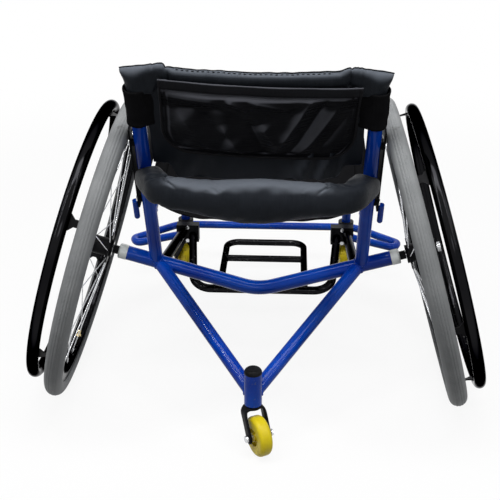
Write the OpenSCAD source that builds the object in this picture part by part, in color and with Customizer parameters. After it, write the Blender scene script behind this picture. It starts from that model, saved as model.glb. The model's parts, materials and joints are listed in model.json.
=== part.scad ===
// Sports wheelchair with cambered wheels, a bumper with wings and a rear anti-tip caster.
// Millimetres, +Z up, +Y is the way the rider faces, origin on the floor under the middle.
// Lengths along Y are given from the main axle and moved by chair() to the origin.

/* [Main wheels] */
// Outer radius of the main tyre
wheel_radius = 305; // [290:1:315]
// Radius of the tyre's round section
tyre_section = 17; // [14:0.5:19]
// Lean of each main wheel, top inward, in degrees
camber = 16.3; // [14:0.1:17]
// Distance of each hub from the middle of the chair
hub_x = 317; // [312:1:335]
// Width of the rim
rim_width = 22; // [18:1:26]
// Depth of the rim along its radius, below the tyre
rim_depth = 13; // [10:1:18]
// Spokes in one main wheel
spoke_count = 24; // [12:2:32]
// Thickness of a spoke
spoke_d = 2; // [1.6:0.2:3]
// Distance of the push rim's centre line inside the tyre's outer radius
push_rim_inset = 35; // [29:1:43]
// Thickness of the push rim's tube
push_rim_d = 22; // [18:1:24]
// Distance of the push rim outside the rim's plane
push_rim_offset = 45; // [42:1:60]
// Tabs that hold one push rim
tab_count = 6; // [4:1:9]
// Turn of the left push rim's first tab from the front, in degrees
left_tab_turn = 28; // [0:0.5:59]
// Turn of the right push rim's first tab from the front, in degrees
right_tab_turn = 7.5; // [0:0.5:59]

/* [Axles] */
// Thickness of the axle
axle_d = 12.7; // [10:0.1:14]
// Length of the hub between its bearings' outer faces
hub_length = 60; // [50:1:70]
// Thickness of the hub's barrel
hub_barrel_d = 36; // [34:1:44]
// Diameter of the hub's spoke flanges
hub_flange_d = 62; // [54:1:72]
// Outer diameter of a hub bearing
hub_bearing_d = 28; // [24:1:30]
// Length of the spacer beside the hub
spacer_length = 12; // [8:1:16]
// Length of the pale collar beside the bar's end
collar_length = 17; // [12:1:22]
// Diameter of the collar
collar_d = 30; // [28:1:36]
// Travel of the quick-release button
button_travel = 3; // [2:0.5:4]

/* [Frame tubes] */
// Outer diameter of the camber bar
bar_od = 28.6; // [25.4:0.1:31.8]
// Outer diameter of the back posts
post_od = 25.4; // [22:0.1:26]
// Outer diameter of the rear struts
strut_od = 25.4; // [22:0.1:28.6]
// Outer diameter of the side frames and lower rails
rail_od = 22; // [19:0.5:23]
// Outer diameter of the bumper tube
bumper_od = 19; // [16:0.5:20]
// Wall of the frame tubes
tube_wall = 2.4; // [1.6:0.1:3]
// Radius of the bend in the middle of the camber bar
bar_bend = 110; // [60:5:160]
// Distance of each post from the middle of the chair
post_x = 202; // [196:1:203]
// Lean of the back posts, in degrees
post_lean = 20.6; // [15:0.1:22]
// Height of the posts' upper ends above the floor
post_top_z = 674; // [650:1:720]
// Distance from the axle back to the anti-tip caster's stem
antitip_reach = 240; // [220:1:240]
// Height where the struts meet the head tube
strut_foot_z = 112; // [110:1:125]
// Height of the head tube's upper end
head_top_z = 158; // [150:1:180]
// Outer diameter of the head tube
head_od = 32.5; // [31:0.5:38]

/* [Seat and side frames] */
// Height of the seat rail where it leaves the post
seat_rear_z = 386; // [370:1:400]
// Height of the seat rail at its front bend
seat_front_z = 458; // [430:1:480]
// Distance of the seat rail's front bend ahead of the axle
seat_front_y = 372; // [340:1:390]
// Radius of the seat rail's front bend
side_bend = 60; // [40:1:80]
// Thickness of the seat sling
sling_thick = 4; // [3:0.5:8]
// Length of the seat sling along the rails
sling_length = 315; // [250:5:330]
// Drop of the sling's flat middle below the rails' axes
sling_sag = 34; // [20:1:45]
// Half width of the sling's flat middle
sling_flat = 130; // [110:1:150]

/* [Front end] */
// Distance of the caster stems ahead of the axle
caster_y = 487; // [480:1:500]
// Height of the caster housings' upper ends
housing_top_z = 146; // [142:1:165]
// Outer diameter of a caster housing
housing_od = 38; // [34:1:42]
// Height where the lower rail meets the housing
rail_front_z = 121; // [120:1:130]
// Height of the bumper above the floor
bumper_z = 104; // [104:0.5:110]
// Distance of the bumper's front run ahead of the axle
bumper_y = 545; // [540:1:580]
// Distance from the middle where the bumper turns back
wing_root_x = 225; // [190:1:240]
// Distance of the wing's tip from the middle
wing_tip_x = 330; // [310:1:350]
// Distance of the wing's tip ahead of the axle
wing_tip_y = 450; // [445:1:470]

/* [Footrest] */
// Outer diameter of the hanger tube
hanger_od = 19; // [16:0.5:20]
// Outer diameter of the foot loop
loop_od = 16; // [14:0.5:19]
// Height of the foot loop above the floor
foot_z = 80; // [70:1:90]
// Distance of the hanger's cross run ahead of the axle
hanger_y = 232; // [215:1:260]
// Half width of the hanger between its corners
hanger_half = 158; // [140:1:162]
// Radius of the hanger's corners
hanger_bend = 45; // [30:1:60]
// Half width of the foot loop at its centre line
loop_half = 97; // [80:1:110]
// Distance of the loop's front run ahead of the axle
loop_front_y = 492; // [450:1:505]
// Distance of the loop's cross bar ahead of the axle
loop_bar_y = 396; // [330:1:420]
// Radius of the loop's corners
loop_bend = 30; // [20:1:40]

/* [Casters] */
// Diameter of a caster wheel
caster_d = 75; // [68:1:76]
// Width of a caster wheel
caster_w = 25; // [20:1:27]
// Offset of the caster's axle from its stem
caster_trail = 25; // [20:1:25]
// Thickness of the caster's axle bolt
caster_bolt_d = 8; // [6:0.5:10]
// Thickness of the caster stem
stem_d = 12; // [10:0.5:14]
// Turn of the left front caster at rest, in degrees
left_swivel = 50; // [0:1:359]
// Turn of the right front caster at rest, in degrees
right_swivel = 5; // [0:1:359]
// Turn of the anti-tip caster at rest, in degrees
antitip_swivel = 208; // [0:1:359]

/* [Backrest] */
// Drop of the back bar below the posts' upper ends
back_bar_drop = 212; // [195:1:235]
// Outer diameter of the back bar
back_bar_od = 19; // [16:0.5:22]
// Distance of the back bar's straight run behind the axle
back_bar_y = 163; // [140:1:180]
// Half length of the back bar's straight run, to its bends
back_bar_half = 163; // [140:1:170]
// Height of the padded roll in the middle
pad_height = 82; // [60:1:90]
// Height of the padded roll at its ends
pad_end_height = 56; // [45:1:70]
// Depth of the padded roll, front to back
pad_depth = 50; // [40:1:56]
// Thickness of the back panel
panel_thick = 9; // [6:0.5:14]
// Bow of the back panel, backwards
panel_bow = 14; // [8:0.5:24]
// Height of the upholstery's upper edge along the posts, past the posts' ends
panel_over = 12; // [6:1:20]
// Length of the panel along the posts
panel_length = 196; // [170:1:205]
// Length of the sleeves round the posts
sleeve_length = 124; // [100:1:130]
// Half width of the pocket
pocket_half = 160; // [130:1:170]
// Length of the pocket along the posts
pocket_length = 132; // [100:1:140]
// Thickness of the pocket
pocket_thick = 10; // [6:0.5:16]

/* [Side guards] */
// Thickness of a side guard
guard_thick = 3.5; // [2.5:0.1:4]
// Length of a side guard ahead of the post
guard_length = 200; // [150:5:230]
// Height of the guard's lower edge along the post, from the bar
guard_low = 150; // [135:1:160]
// Radius of the guard's upper edge round the hub
guard_radius = 254; // [235:1:258]

/* [Hidden] */
$fn = 64;

// Clearances
overrun = 5;
weld_gap = 0.15;
seat_gap = 0.3;
run_gap = 0.04;
side_gap = 0.5;
bend_lap = 0.2;
bend_under = 0.02;

// Main wheel and axle line
hub_z = (wheel_radius - tyre_section) * cos(camber) + tyre_section;
hub_centre = [hub_x, 0, hub_z];
axle_dir = [cos(camber), 0, sin(camber)];
tyre_radius = wheel_radius - tyre_section;
rim_bed = tyre_radius - tyre_section - seat_gap;
rim_inner = rim_bed - rim_depth;
flange_w = 2.2;
flange_up = 8;
rim_round = 3;
bead_half = rim_width / 2 - flange_w - seat_gap;
hub_flange_w = 4;
hub_flange_in = 5;
hub_bearing_w = 8;
spoke_lean = 17;
nipple_d = 4.4;
nipple_len = 11;
push_rim_radius = wheel_radius - push_rim_inset;
tab_thick = 2.6;
tab_neck = 14;
tab_flare = 30;
tab_foot = 8;
tab_sweep = 8;
spacer_d = 17;
collar_edge = 2;
spigot_len = 36;
axle_head_d = 19;
axle_head_len = 6;
axle_head_gap = 1.5;
axle_inside = 30;
button_d = 7;
button_out = 4;
button_len = 6;
bar_end_s = hub_length / 2 + side_gap + spacer_length + collar_length;

// Frame corners, right side
function bar_z(x) = hub_z - (hub_x - x) * tan(camber);
post_base = [post_x, 0, bar_z(post_x)];
post_dir = [0, -sin(post_lean), cos(post_lean)];
function post_at(z) = post_base + post_dir * ((z - post_base.z) / post_dir.z);
function post_run(z) = (z - post_base.z) / post_dir.z;
post_length = post_run(post_top_z);
back_bar_z = post_top_z - back_bar_drop;
strut_x = 198;
strut_top = [strut_x, 0, bar_z(strut_x)];
strut_foot = [0, -antitip_reach, strut_foot_z];
rail_x = 190;
rail_rear = [rail_x, 0, bar_z(rail_x)];
rail_front = [post_x, caster_y, rail_front_z];
seat_rear = post_at(seat_rear_z);
seat_front = [post_x, seat_front_y, seat_front_z];
housing_head = [post_x, caster_y, housing_top_z];
seat_angle = atan2(seat_front_z - seat_rear_z, seat_front_y - seat_rear.y);

// Casters
crown_top = 92;
crown_thick = 8;
crown_d = 30;
shoulder_d = 15;
shoulder_gap = 1.5;
bearing_od = 24;
bearing_w = 8;
stem_len = 44;
fork_gap = 34;
arm_thick = 5;
arm_boss = 9;
bolt_head_d = 13;
bolt_head_len = 5;
sleeve_d = 13;
caster_hub_d = 44;
caster_round = 8;
caster_dish = 5;
caster_dish_d = 34;
caster_nave_d = 18;
housing_low = crown_top + shoulder_gap;
bearing_high = crown_top + stem_len - bearing_w;
cap_height = 9;
cap_round = 8;
cap_spigot = 14;

// Bumper
wing_bend = 13;
wing_root_bend = 60;
wing_return_x = 12;
wing_return_y = 28;

// Footrest
hanger_end_x = 21;
hanger_end_y = 208;
hanger_end_z = 68;
clamp_y = 415;
clamp_long = 24;
clamp_high = 44;
clamp_side = 5;
clamp_bolt_d = 5;
clamp_head_d = 9;
clamp_head_len = 3.5;
clamp_bolt_rise = 17;
hanger_corner = [hanger_half, hanger_y, foot_z];
hanger_end = hanger_corner + [hanger_end_x, hanger_end_y, hanger_end_z];

// Backrest and seat
back_bar_bend = 40;
pad_crease_share = 0.09;
pad_crease_width = 14;
pad_round = 12;
pad_round_share = 0.7;
pad_sag = 90;
pad_runs = 5;
pad_sides = 16;
panel_join = 6;
panel_tail = 28;
panel_tail_half = 150;
bow_facets = 720;
sleeve_wall = 2.6;
panel_hem = 20;
panel_hem_thick = 17;
pocket_drop = 30;
pocket_round = 26;
flap_thick = 3;
flap_length = 78;
sling_start = 28;

// Side guards
guard_side = 3.1;
guard_in = post_x + rail_od / 2 + seat_gap + sleeve_wall + guard_side;
guard_back = 6;
guard_tab = 12;
guard_drop_share = 0.19;
guard_bolt_drop = 30;
guard_bolt_rise = 18;
guard_low_bolt = guard_low + guard_bolt_rise;
guard_boss_d = 14;
guard_bolt_d = 6;
guard_head_d = 12;
guard_head_len = 2;
guard_stem_d = 11;
guard_stem_drop = 28;
guard_stem_low = guard_low - guard_stem_drop;

// Shift from the axle to the origin
front_reach = bumper_y + bumper_od / 2;
axle_y = (wheel_radius - front_reach) / 2;

// Colours
frame_blue = [0.07, 0.18, 0.62];
gloss_black = [0.06, 0.06, 0.07];
satin_black = [0.13, 0.13, 0.14];
tyre_grey = [0.45, 0.46, 0.47];
caster_yellow = [0.86, 0.74, 0.05];
steel = [0.75, 0.76, 0.78];
pale_grey = [0.82, 0.83, 0.82];
cloth_dark = [0.16, 0.18, 0.22];

// Vectors and placing
function unit(v) = v / norm(v);
function side_of(d) = unit(cross(abs(d.z) < 0.95 ? [0, 0, 1] : [0, 1, 0], d));
function flip(p) = [-p.x, p.y, p.z];
module frame_at(p, x, y, z) {
    multmatrix([[x.x, y.x, z.x, p.x], [x.y, y.y, z.y, p.y], [x.z, y.z, z.z, p.z], [0, 0, 0, 1]])
        children();
}
module aim(p, d) {
    z = unit(d);
    x = side_of(z);
    frame_at(p, x, cross(z, x), z) children();
}
module chair() { translate([0, axle_y, 0]) children(); }
module left() { mirror([1, 0, 0]) children(); }
module both() { children(); left() children(); }
module at_wheel() {
    chair() frame_at(hub_centre, [0, 1, 0], [-sin(camber), 0, cos(camber)], axle_dir) children();
}
module at_posts() {
    chair() translate([0, post_base.y, post_base.z]) rotate([post_lean, 0, 0]) children();
}
module at_seat() {
    chair() translate([0, seat_rear.y, seat_rear.z]) rotate([seat_angle, 0, 0]) children();
}

// Round bars and bent tubes
module rod(a, b, d) { aim(a, b - a) cylinder(d = d, h = norm(b - a)); }
module long_rod(a, b, d) {
    e = unit(b - a) * overrun;
    rod(a - e, b + e, d);
}
module section(d, bore) {
    difference() {
        circle(d = d);
        circle(d = bore);
    }
}
function turn(p, i) = acos(unit(p[i] - p[i - 1]) * unit(p[i + 1] - p[i]));
function setback(p, r, i) = i == 0 || i == len(p) - 1 ? 0 : r[i - 1] * tan(turn(p, i) / 2);
module elbow(p, r, i, d) {
    a = unit(p[i] - p[i - 1]);
    b = unit(p[i + 1] - p[i]);
    n = unit(b - a * (a * b));
    frame_at(p[i] - a * setback(p, r, i) + n * r[i - 1], -n, a, cross(-n, a))
        rotate_extrude(angle = turn(p, i)) translate([r[i - 1], 0]) circle(d = d);
}
// Bar through the points p, with bend radii r at the inner points: each straight run laps
// a little way into its bends, which are a hair thinner
module bent_bar(p, r, d) {
    for (i = [0 : len(p) - 2]) {
        along = unit(p[i + 1] - p[i]);
        back = i == 0 ? 0 : bend_lap - setback(p, r, i);
        ahead = i == len(p) - 2 ? 0 : bend_lap - setback(p, r, i + 1);
        rod(p[i] - along * back, p[i + 1] + along * ahead, d);
    }
    for (i = [1 : 1 : len(p) - 2]) elbow(p, r, i, d - 2 * bend_under);
}
function longer(p) = let (n = len(p) - 1) [for (i = [0 : n])
    i == 0 ? p[0] + unit(p[0] - p[1]) * overrun : i == n ? p[n] + unit(p[n] - p[n - 1]) * overrun : p[i]];
// Tube of the frame's wall along the same kind of path
module tube(p, r, d) {
    difference() {
        bent_bar(p, r, d);
        bent_bar(longer(p), r, d - 2 * tube_wall);
    }
}
module pipe(a, b, d) { tube([a, b], [], d); }
// Outline of two discs and the straight edges that touch both
module link_outline(p, rp, q, rq) {
    along = unit(q - p);
    lean = acos((rp - rq) / norm(q - p));
    up = [along.x * cos(lean) - along.y * sin(lean), along.x * sin(lean) + along.y * cos(lean)];
    down = [along.x * cos(lean) + along.y * sin(lean), -along.x * sin(lean) + along.y * cos(lean)];
    translate(p) circle(r = rp);
    translate(q) circle(r = rq);
    polygon([p + up * rp, p + down * rp, q + down * rq, q + up * rq]);
}
// Square with round corners, standing on its lower edge's middle
module soft_square(w, h, r) {
    translate([-w / 2 + r, 0]) square([w - 2 * r, h]);
    translate([-w / 2, r]) square([w, h - 2 * r]);
    for (x = [-w / 2 + r, w / 2 - r], y = [r, h - r]) translate([x, y]) circle(r = r);
}

// Solids that neighbours are cut with
module bar_half_solid(grow) { rod([0, 0, bar_z(0)], on_axle(bar_end_s - overrun), bar_od + 2 * grow); }
function on_axle(s) = hub_centre - axle_dir * s;
module post_solid(grow) {
    rod(post_base, post_base + post_dir * (post_length + overrun), post_od + 2 * grow);
}
module housing_solid(grow) {
    translate([post_x, caster_y, housing_low - grow])
        cylinder(d = housing_od + 2 * grow, h = housing_top_z - housing_low + 2 * grow);
}
module head_solid(grow) {
    translate([0, -antitip_reach, housing_low])
        cylinder(d = head_od + 2 * grow, h = head_top_z - housing_low);
}

// Frame
module camber_bar() {
    ends = [flip(on_axle(bar_end_s)), [0, 0, bar_z(0)], on_axle(bar_end_s)];
    color(frame_blue) chair() tube(ends, [bar_bend], bar_od);
}
module back_post_right() {
    top = post_base + post_dir * post_length;
    color(frame_blue) chair() difference() {
        pipe(post_base, top, post_od);
        bar_half_solid(weld_gap);
    }
}
module back_post_left() { left() back_post_right(); }
module rear_strut_right() {
    color(frame_blue) chair() difference() {
        pipe(strut_top, strut_foot, strut_od);
        bar_half_solid(weld_gap);
        post_solid(weld_gap);
        head_solid(weld_gap);
        translate([-strut_od + weld_gap / 2, -antitip_reach - strut_od, 0])
            cube([strut_od, 2 * strut_od, head_top_z]);
    }
}
module rear_strut_left() { left() rear_strut_right(); }
module antitip_head_tube() {
    bore = bearing_od + 2 * run_gap;
    color(frame_blue) chair() translate([0, -antitip_reach, housing_low])
        linear_extrude(head_top_z - housing_low) section(head_od, bore);
}
module antitip_cap() {
    color(satin_black) chair() translate([0, -antitip_reach, head_top_z]) {
        rotate_extrude() {
            square([head_od / 2, cap_height - cap_round]);
            square([head_od / 2 - cap_round, cap_height]);
            translate([head_od / 2 - cap_round, cap_height - cap_round])
                intersection() { circle(r = cap_round); square(cap_round); }
        }
        translate([0, 0, -cap_spigot]) cylinder(d = bearing_od, h = cap_spigot);
    }
}
module side_frame_right() {
    path = [seat_rear, seat_front, housing_head];
    color(frame_blue) chair() difference() {
        tube(path, [side_bend], rail_od);
        post_solid(weld_gap);
        housing_solid(weld_gap);
    }
}
module side_frame_left() { left() side_frame_right(); }
module lower_rail_right() {
    color(gloss_black) chair() difference() {
        pipe(rail_rear, rail_front, rail_od);
        bar_half_solid(weld_gap);
        housing_solid(weld_gap);
    }
}
module lower_rail_left() { left() lower_rail_right(); }
module caster_housing_right() {
    color(satin_black) chair() difference() {
        housing_solid(0);
        translate([post_x, caster_y, housing_low - overrun])
            cylinder(d = bearing_od + 2 * run_gap, h = bearing_high + bearing_w - housing_low + overrun);
    }
}
module caster_housing_left() { left() caster_housing_right(); }
module front_bumper() {
    run = [
        [post_x, caster_y, bumper_z],
        [wing_tip_x - wing_return_x, wing_tip_y - wing_return_y, bumper_z],
        [wing_tip_x, wing_tip_y, bumper_z],
        [wing_root_x, bumper_y, bumper_z]
    ];
    path = concat([for (p = run) flip(p)], [for (i = [len(run) - 1 : -1 : 0]) run[i]]);
    half_bends = [wing_bend, wing_bend, wing_root_bend];
    bends = concat(half_bends, [for (i = [len(half_bends) - 1 : -1 : 0]) half_bends[i]]);
    color(frame_blue) chair() difference() {
        tube(path, bends, bumper_od);
        both() housing_solid(weld_gap);
    }
}

// Footrest
module footrest_hanger() {
    path = [flip(hanger_end), flip(hanger_corner), hanger_corner, hanger_end];
    color(gloss_black) chair() tube(path, [hanger_bend, hanger_bend], hanger_od);
}
module footrest_loop() {
    rear = [loop_half, hanger_y, foot_z];
    front = [loop_half, loop_front_y, foot_z];
    bar = [loop_half, loop_bar_y, foot_z];
    color(gloss_black) chair() difference() {
        union() {
            bent_bar([flip(rear), flip(front), front, rear], [loop_bend, loop_bend], loop_od);
            rod(flip(bar), bar, loop_od);
        }
        rod(flip(hanger_corner), hanger_corner, hanger_od + 2 * weld_gap);
    }
}
rail_at_clamp = rail_rear + (rail_front - rail_rear) * (clamp_y / caster_y);
hanger_at_clamp = hanger_corner + (hanger_end - hanger_corner) * ((clamp_y - hanger_y) / hanger_end_y);
clamp_centre = (rail_at_clamp + hanger_at_clamp) / 2;
clamp_width = rail_at_clamp.x - hanger_at_clamp.x + (rail_od + hanger_od) / 2 + 2 * clamp_side;
module clamp_bolt(grow) {
    for (s = [-1, 1]) translate(clamp_centre + [0, -clamp_long / 2, s * clamp_bolt_rise])
        rotate([-90, 0, 0]) cylinder(d = clamp_bolt_d + 2 * grow, h = clamp_long);
}
module footrest_clamps() {
    color(satin_black) chair() both() difference() {
        translate(clamp_centre - [clamp_width, clamp_long, clamp_high] / 2)
            cube([clamp_width, clamp_long, clamp_high]);
        long_rod(rail_rear, rail_front, rail_od + 2 * weld_gap);
        long_rod(hanger_corner, hanger_end, hanger_od + 2 * weld_gap);
        clamp_bolt(weld_gap);
    }
}
module clamp_bolts() {
    chair() both() {
        clamp_bolt(0);
        for (s = [-1, 1])
            translate(clamp_centre + [0, -clamp_long / 2 - clamp_head_len, s * clamp_bolt_rise])
                rotate([-90, 0, 0]) cylinder(d = clamp_head_d, h = clamp_head_len);
    }
}

// Backrest and seat
back_bar_path = [
    flip(post_at(back_bar_z)), [-back_bar_half, -back_bar_y, back_bar_z],
    [back_bar_half, -back_bar_y, back_bar_z], post_at(back_bar_z)
];
module back_bar() {
    color(frame_blue) chair() difference() {
        tube(back_bar_path, [back_bar_bend, back_bar_bend], back_bar_od);
        both() post_solid(weld_gap);
    }
}
// Padded roll: oval rings carried along the back bar, low at the ends and drawn in at the bends,
// with a bore that follows the bar, notched where its ends lie round the posts
pad_corner = back_bar_path[2];
pad_side = unit(back_bar_path[3] - pad_corner);
pad_angle = turn(back_bar_path, 2);
pad_turn_at = back_bar_half - back_bar_bend * tan(pad_angle / 2);
pad_turn_end = pad_turn_at + back_bar_bend * pad_angle * PI / 180;
pad_reach = pad_turn_end + norm(back_bar_path[3] - pad_corner) - back_bar_bend * tan(pad_angle / 2);
function pad_turned(s) = min(pad_angle, max(0, (s - pad_turn_at) / back_bar_bend * 180 / PI));
function pad_centre(s) = let (a = pad_turned(s))
    [min(s, pad_turn_at) + back_bar_bend * sin(a), back_bar_bend * (1 - cos(a)) - back_bar_y, back_bar_z]
    + pad_side * max(0, s - pad_turn_end);
pad_bend_at = (pad_turn_at + pad_turn_end) / 2;
function pad_nip(s) = 1 - pad_crease_share * exp(-pow((s - pad_bend_at) / pad_crease_width, 2));
function pad_close(s) = sqrt(max(0, 1 - pow(max(0, s - pad_reach + pad_round) / pad_round, 2)));
function pad_scale(s) = pad_nip(s) * (pad_round_share + (1 - pad_round_share) * pad_close(s));
function pad_tall(s) = pad_end_height + (pad_height - pad_end_height) * exp(-pow(s / pad_sag, 2));
function pad_ring(s, sign, deep, tall) = let (h = pad_turned(s), c = pad_centre(s)) [
    for (k = [0 : pad_sides - 1]) let (
        a = 360 * k / pad_sides,
        p = c + [sin(h), -cos(h), 0] * (deep / 2 * cos(a)) + [0, 0, tall / 2 * sin(a)]
    ) [sign * p.x, p.y, p.z]
];
pad_half_stops = concat(
    [for (i = [1 : pad_runs]) pad_turn_at * i / pad_runs],
    [for (i = [1 : pad_runs]) pad_turn_at + (pad_turn_end - pad_turn_at) * i / pad_runs],
    [for (i = [1 : pad_runs]) pad_turn_end + (pad_reach - pad_turn_end) * i / pad_runs]
);
pad_stops = concat([for (i = [len(pad_half_stops) - 1 : -1 : 0]) -pad_half_stops[i]], [0], pad_half_stops);
pad_bore_d = (back_bar_od + 2 * seat_gap) / cos(180 / pad_sides) + seat_gap;
module back_bar_pad() {
    outer = [for (s = pad_stops) let (a = abs(s))
        each pad_ring(a, s < 0 ? -1 : 1, pad_depth * pad_scale(a), pad_tall(a) * pad_scale(a))];
    bore = [for (s = pad_stops) each pad_ring(abs(s), s < 0 ? -1 : 1, pad_bore_d, pad_bore_d)];
    n = len(outer);
    last = n - pad_sides;
    walls = [for (i = [0 : len(pad_stops) - 2], k = [0 : pad_sides - 1]) let (
        a = i * pad_sides + k, b = i * pad_sides + (k + 1) % pad_sides, c = a + pad_sides, d = b + pad_sides)
        each [[a, b, d], [a, d, c], [n + a, n + d, n + b], [n + a, n + c, n + d]]];
    ends = [for (k = [0 : pad_sides - 1]) let (m = (k + 1) % pad_sides)
        each [[k, n + k, n + m], [k, n + m, m],
              [last + k, last + m, n + last + m], [last + k, n + last + m, n + last + k]]];
    color(cloth_dark) chair() difference() {
        polyhedron(points = concat(outer, bore), faces = concat(walls, ends));
        both() post_solid(seat_gap);
    }
}
// Arc strip across the posts: thick is its depth, shift moves it backwards
bow_radius = (post_x * post_x + panel_bow * panel_bow) / (2 * panel_bow);
module bow_strip(half, thick, shift) {
    intersection() {
        translate([0, bow_radius - panel_bow]) difference() {
            circle(r = bow_radius + shift + thick / 2, $fn = bow_facets);
            circle(r = bow_radius + shift - thick / 2, $fn = bow_facets);
        }
        translate([-half, -2 * panel_bow - shift - thick]) square([2 * half, 4 * panel_bow + shift + thick]);
    }
}
sleeve_r = post_od / 2 + seat_gap + sleeve_wall;
panel_top = post_length + panel_over;
module sleeve_outline() { for (x = [-post_x, post_x]) translate([x, 0]) circle(r = sleeve_r); }
module sleeve_bores(low, high) {
    for (x = [-post_x, post_x]) translate([x, 0, low]) cylinder(r = sleeve_r - sleeve_wall, h = high - low);
}
module back_upholstery() {
    low = panel_top - panel_length - panel_tail;
    color(cloth_dark) at_posts() difference() {
        union() {
            translate([0, 0, low]) linear_extrude(panel_length + panel_tail)
                bow_strip(post_x - sleeve_r, panel_thick, 0);
            translate([0, 0, panel_top - sleeve_length]) linear_extrude(sleeve_length) {
                bow_strip(post_x, panel_join, 0);
                sleeve_outline();
            }
            translate([0, 0, panel_top - panel_hem]) linear_extrude(panel_hem)
                bow_strip(post_x + sleeve_r, panel_hem_thick, 0);
        }
        sleeve_bores(low - overrun, post_length + seat_gap);
        both() translate([panel_tail_half, -2 * panel_bow, low - overrun])
            cube([post_x - panel_tail_half, 4 * panel_bow, panel_tail + overrun]);
    }
}
module back_pocket() {
    low = panel_top - pocket_drop - pocket_length;
    shift = panel_thick / 2 + seat_gap + pocket_thick / 2;
    color(cloth_dark) at_posts() {
        intersection() {
            translate([0, 0, low - overrun]) linear_extrude(pocket_length + 2 * overrun)
                bow_strip(pocket_half + overrun, pocket_thick, shift);
            translate([0, 0, low]) rotate([90, 0, 0])
                linear_extrude(2 * bow_radius, center = true)
                    soft_square(2 * pocket_half, pocket_length, pocket_round);
        }
        translate([0, 0, low + pocket_length - flap_length]) linear_extrude(flap_length - pocket_round)
            bow_strip(pocket_half - pocket_round / 2, flap_thick + pocket_thick / 2,
                shift + pocket_thick / 4 + flap_thick / 2);
    }
}
sling_r = rail_od / 2 + seat_gap + sleeve_wall;
// Section of the sling: a sleeve round each rail, sides that slope down and a flat middle
module sling_section() {
    side = post_x - sling_r + sleeve_wall / 2;
    difference() {
        union() {
            for (x = [-post_x, post_x]) translate([x, 0]) circle(r = sling_r);
            for (s = [-1, 1])
                link_outline([s * side, 0], sling_thick / 2, [s * sling_flat, -sling_sag], sling_thick / 2);
            translate([-sling_flat, -sling_sag - sling_thick / 2]) square([2 * sling_flat, sling_thick]);
        }
        for (x = [-post_x, post_x]) translate([x, 0]) circle(r = sling_r - sleeve_wall);
    }
}
module seat_sling() {
    color(cloth_dark) at_seat() translate([0, sling_start + sling_length, 0]) rotate([90, 0, 0])
        linear_extrude(sling_length) sling_section();
}

// Side guards
hub_in_posts = [sin(post_lean), cos(post_lean)] * (hub_z - post_base.z);
guard_top = panel_top - sleeve_length - side_gap;
guard_top_bolt = guard_top - guard_bolt_drop;
// Plate under an arc round the hub, with a tab up the post to the sleeve's lower edge
module guard_outline() {
    difference() {
        polygon([
            [-guard_back, guard_low], [-guard_back, guard_top], [guard_length, guard_top],
            [guard_length, guard_low - guard_length * guard_drop_share]
        ]);
        difference() {
            translate([guard_tab, 0]) square([guard_length, 2 * guard_top]);
            translate(hub_in_posts) circle(r = guard_radius);
        }
    }
}
module along_x(x, z, d, h) { translate([x, 0, z]) rotate([0, 90, 0]) cylinder(d = d, h = h); }
module guard_holes(d) {
    for (z = [guard_low_bolt, guard_top_bolt])
        along_x(post_x, z, d, guard_in - post_x + guard_thick + overrun);
}
module side_guard_right() {
    color(satin_black) at_posts() difference() {
        union() {
            translate([guard_in, 0, 0]) rotate([90, 0, 90]) linear_extrude(guard_thick) guard_outline();
            for (z = [guard_low_bolt, guard_top_bolt]) along_x(post_x, z, guard_boss_d, guard_in - post_x);
        }
        translate([post_x, 0, 0]) cylinder(d = post_od + 2 * weld_gap, h = post_length);
        guard_holes(guard_bolt_d + 2 * weld_gap);
    }
}
module side_guard_left() { left() side_guard_right(); }
module guard_stems() {
    x = guard_in + guard_thick + weld_gap + guard_stem_d / 2;
    color(frame_blue) at_posts() both() {
        translate([x, 0, guard_stem_low]) cylinder(d = guard_stem_d, h = guard_low_bolt
            - guard_head_d / 2 - weld_gap - guard_stem_low);
        translate([x, 0, guard_stem_low]) sphere(d = guard_stem_d);
    }
}
module guard_bolts() {
    start = post_x + post_od / 2 + weld_gap;
    face = guard_in + guard_thick;
    at_posts() both() for (z = [guard_low_bolt, guard_top_bolt]) {
        along_x(start, z, guard_bolt_d, face - start);
        along_x(face, z, guard_head_d, guard_head_len);
    }
}
module frame_bolts() {
    color(steel) {
        clamp_bolts();
        guard_bolts();
    }
}

// Axles, in the wheel's own frame: Z runs outward along the axle
module axle_collar_right() {
    inner = -bar_end_s;
    color(pale_grey) at_wheel() difference() {
        union() {
            translate([0, 0, inner]) rotate_extrude() polygon([
                [0, 0], [collar_d / 2, 0], [collar_d / 2, collar_length - collar_edge],
                [collar_d / 2 - collar_edge, collar_length], [0, collar_length]
            ]);
            translate([0, 0, inner - spigot_len])
                cylinder(d = bar_od - 2 * tube_wall - 2 * weld_gap, h = spigot_len);
        }
        translate([0, 0, inner - spigot_len - overrun])
            cylinder(d = axle_d + 2 * run_gap, h = spigot_len + collar_length + 2 * overrun);
    }
}
module axle_collar_left() { left() axle_collar_right(); }
module axle_spacers() {
    color(satin_black) both() at_wheel() translate([0, 0, -bar_end_s + collar_length])
        linear_extrude(spacer_length) section(spacer_d, axle_d + 2 * run_gap);
}
axle_out = hub_length / 2 + axle_head_gap;
module axle_right() {
    color(steel) at_wheel() difference() {
        union() {
            translate([0, 0, -bar_end_s - axle_inside])
                cylinder(d = axle_d, h = bar_end_s + axle_inside + axle_out);
            translate([0, 0, axle_out]) cylinder(d = axle_head_d, h = axle_head_len);
        }
        translate([0, 0, axle_out + axle_head_len + button_out - button_len - button_travel - side_gap])
            cylinder(d = button_d + 2 * run_gap, h = button_len + button_travel + overrun);
    }
}
module axle_left() { left() axle_right(); }
module release_button_right() {
    color(satin_black) at_wheel() translate([0, 0, axle_out + axle_head_len + button_out - button_len])
        cylinder(d = button_d, h = button_len);
}
module release_button_left() { left() release_button_right(); }

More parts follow.
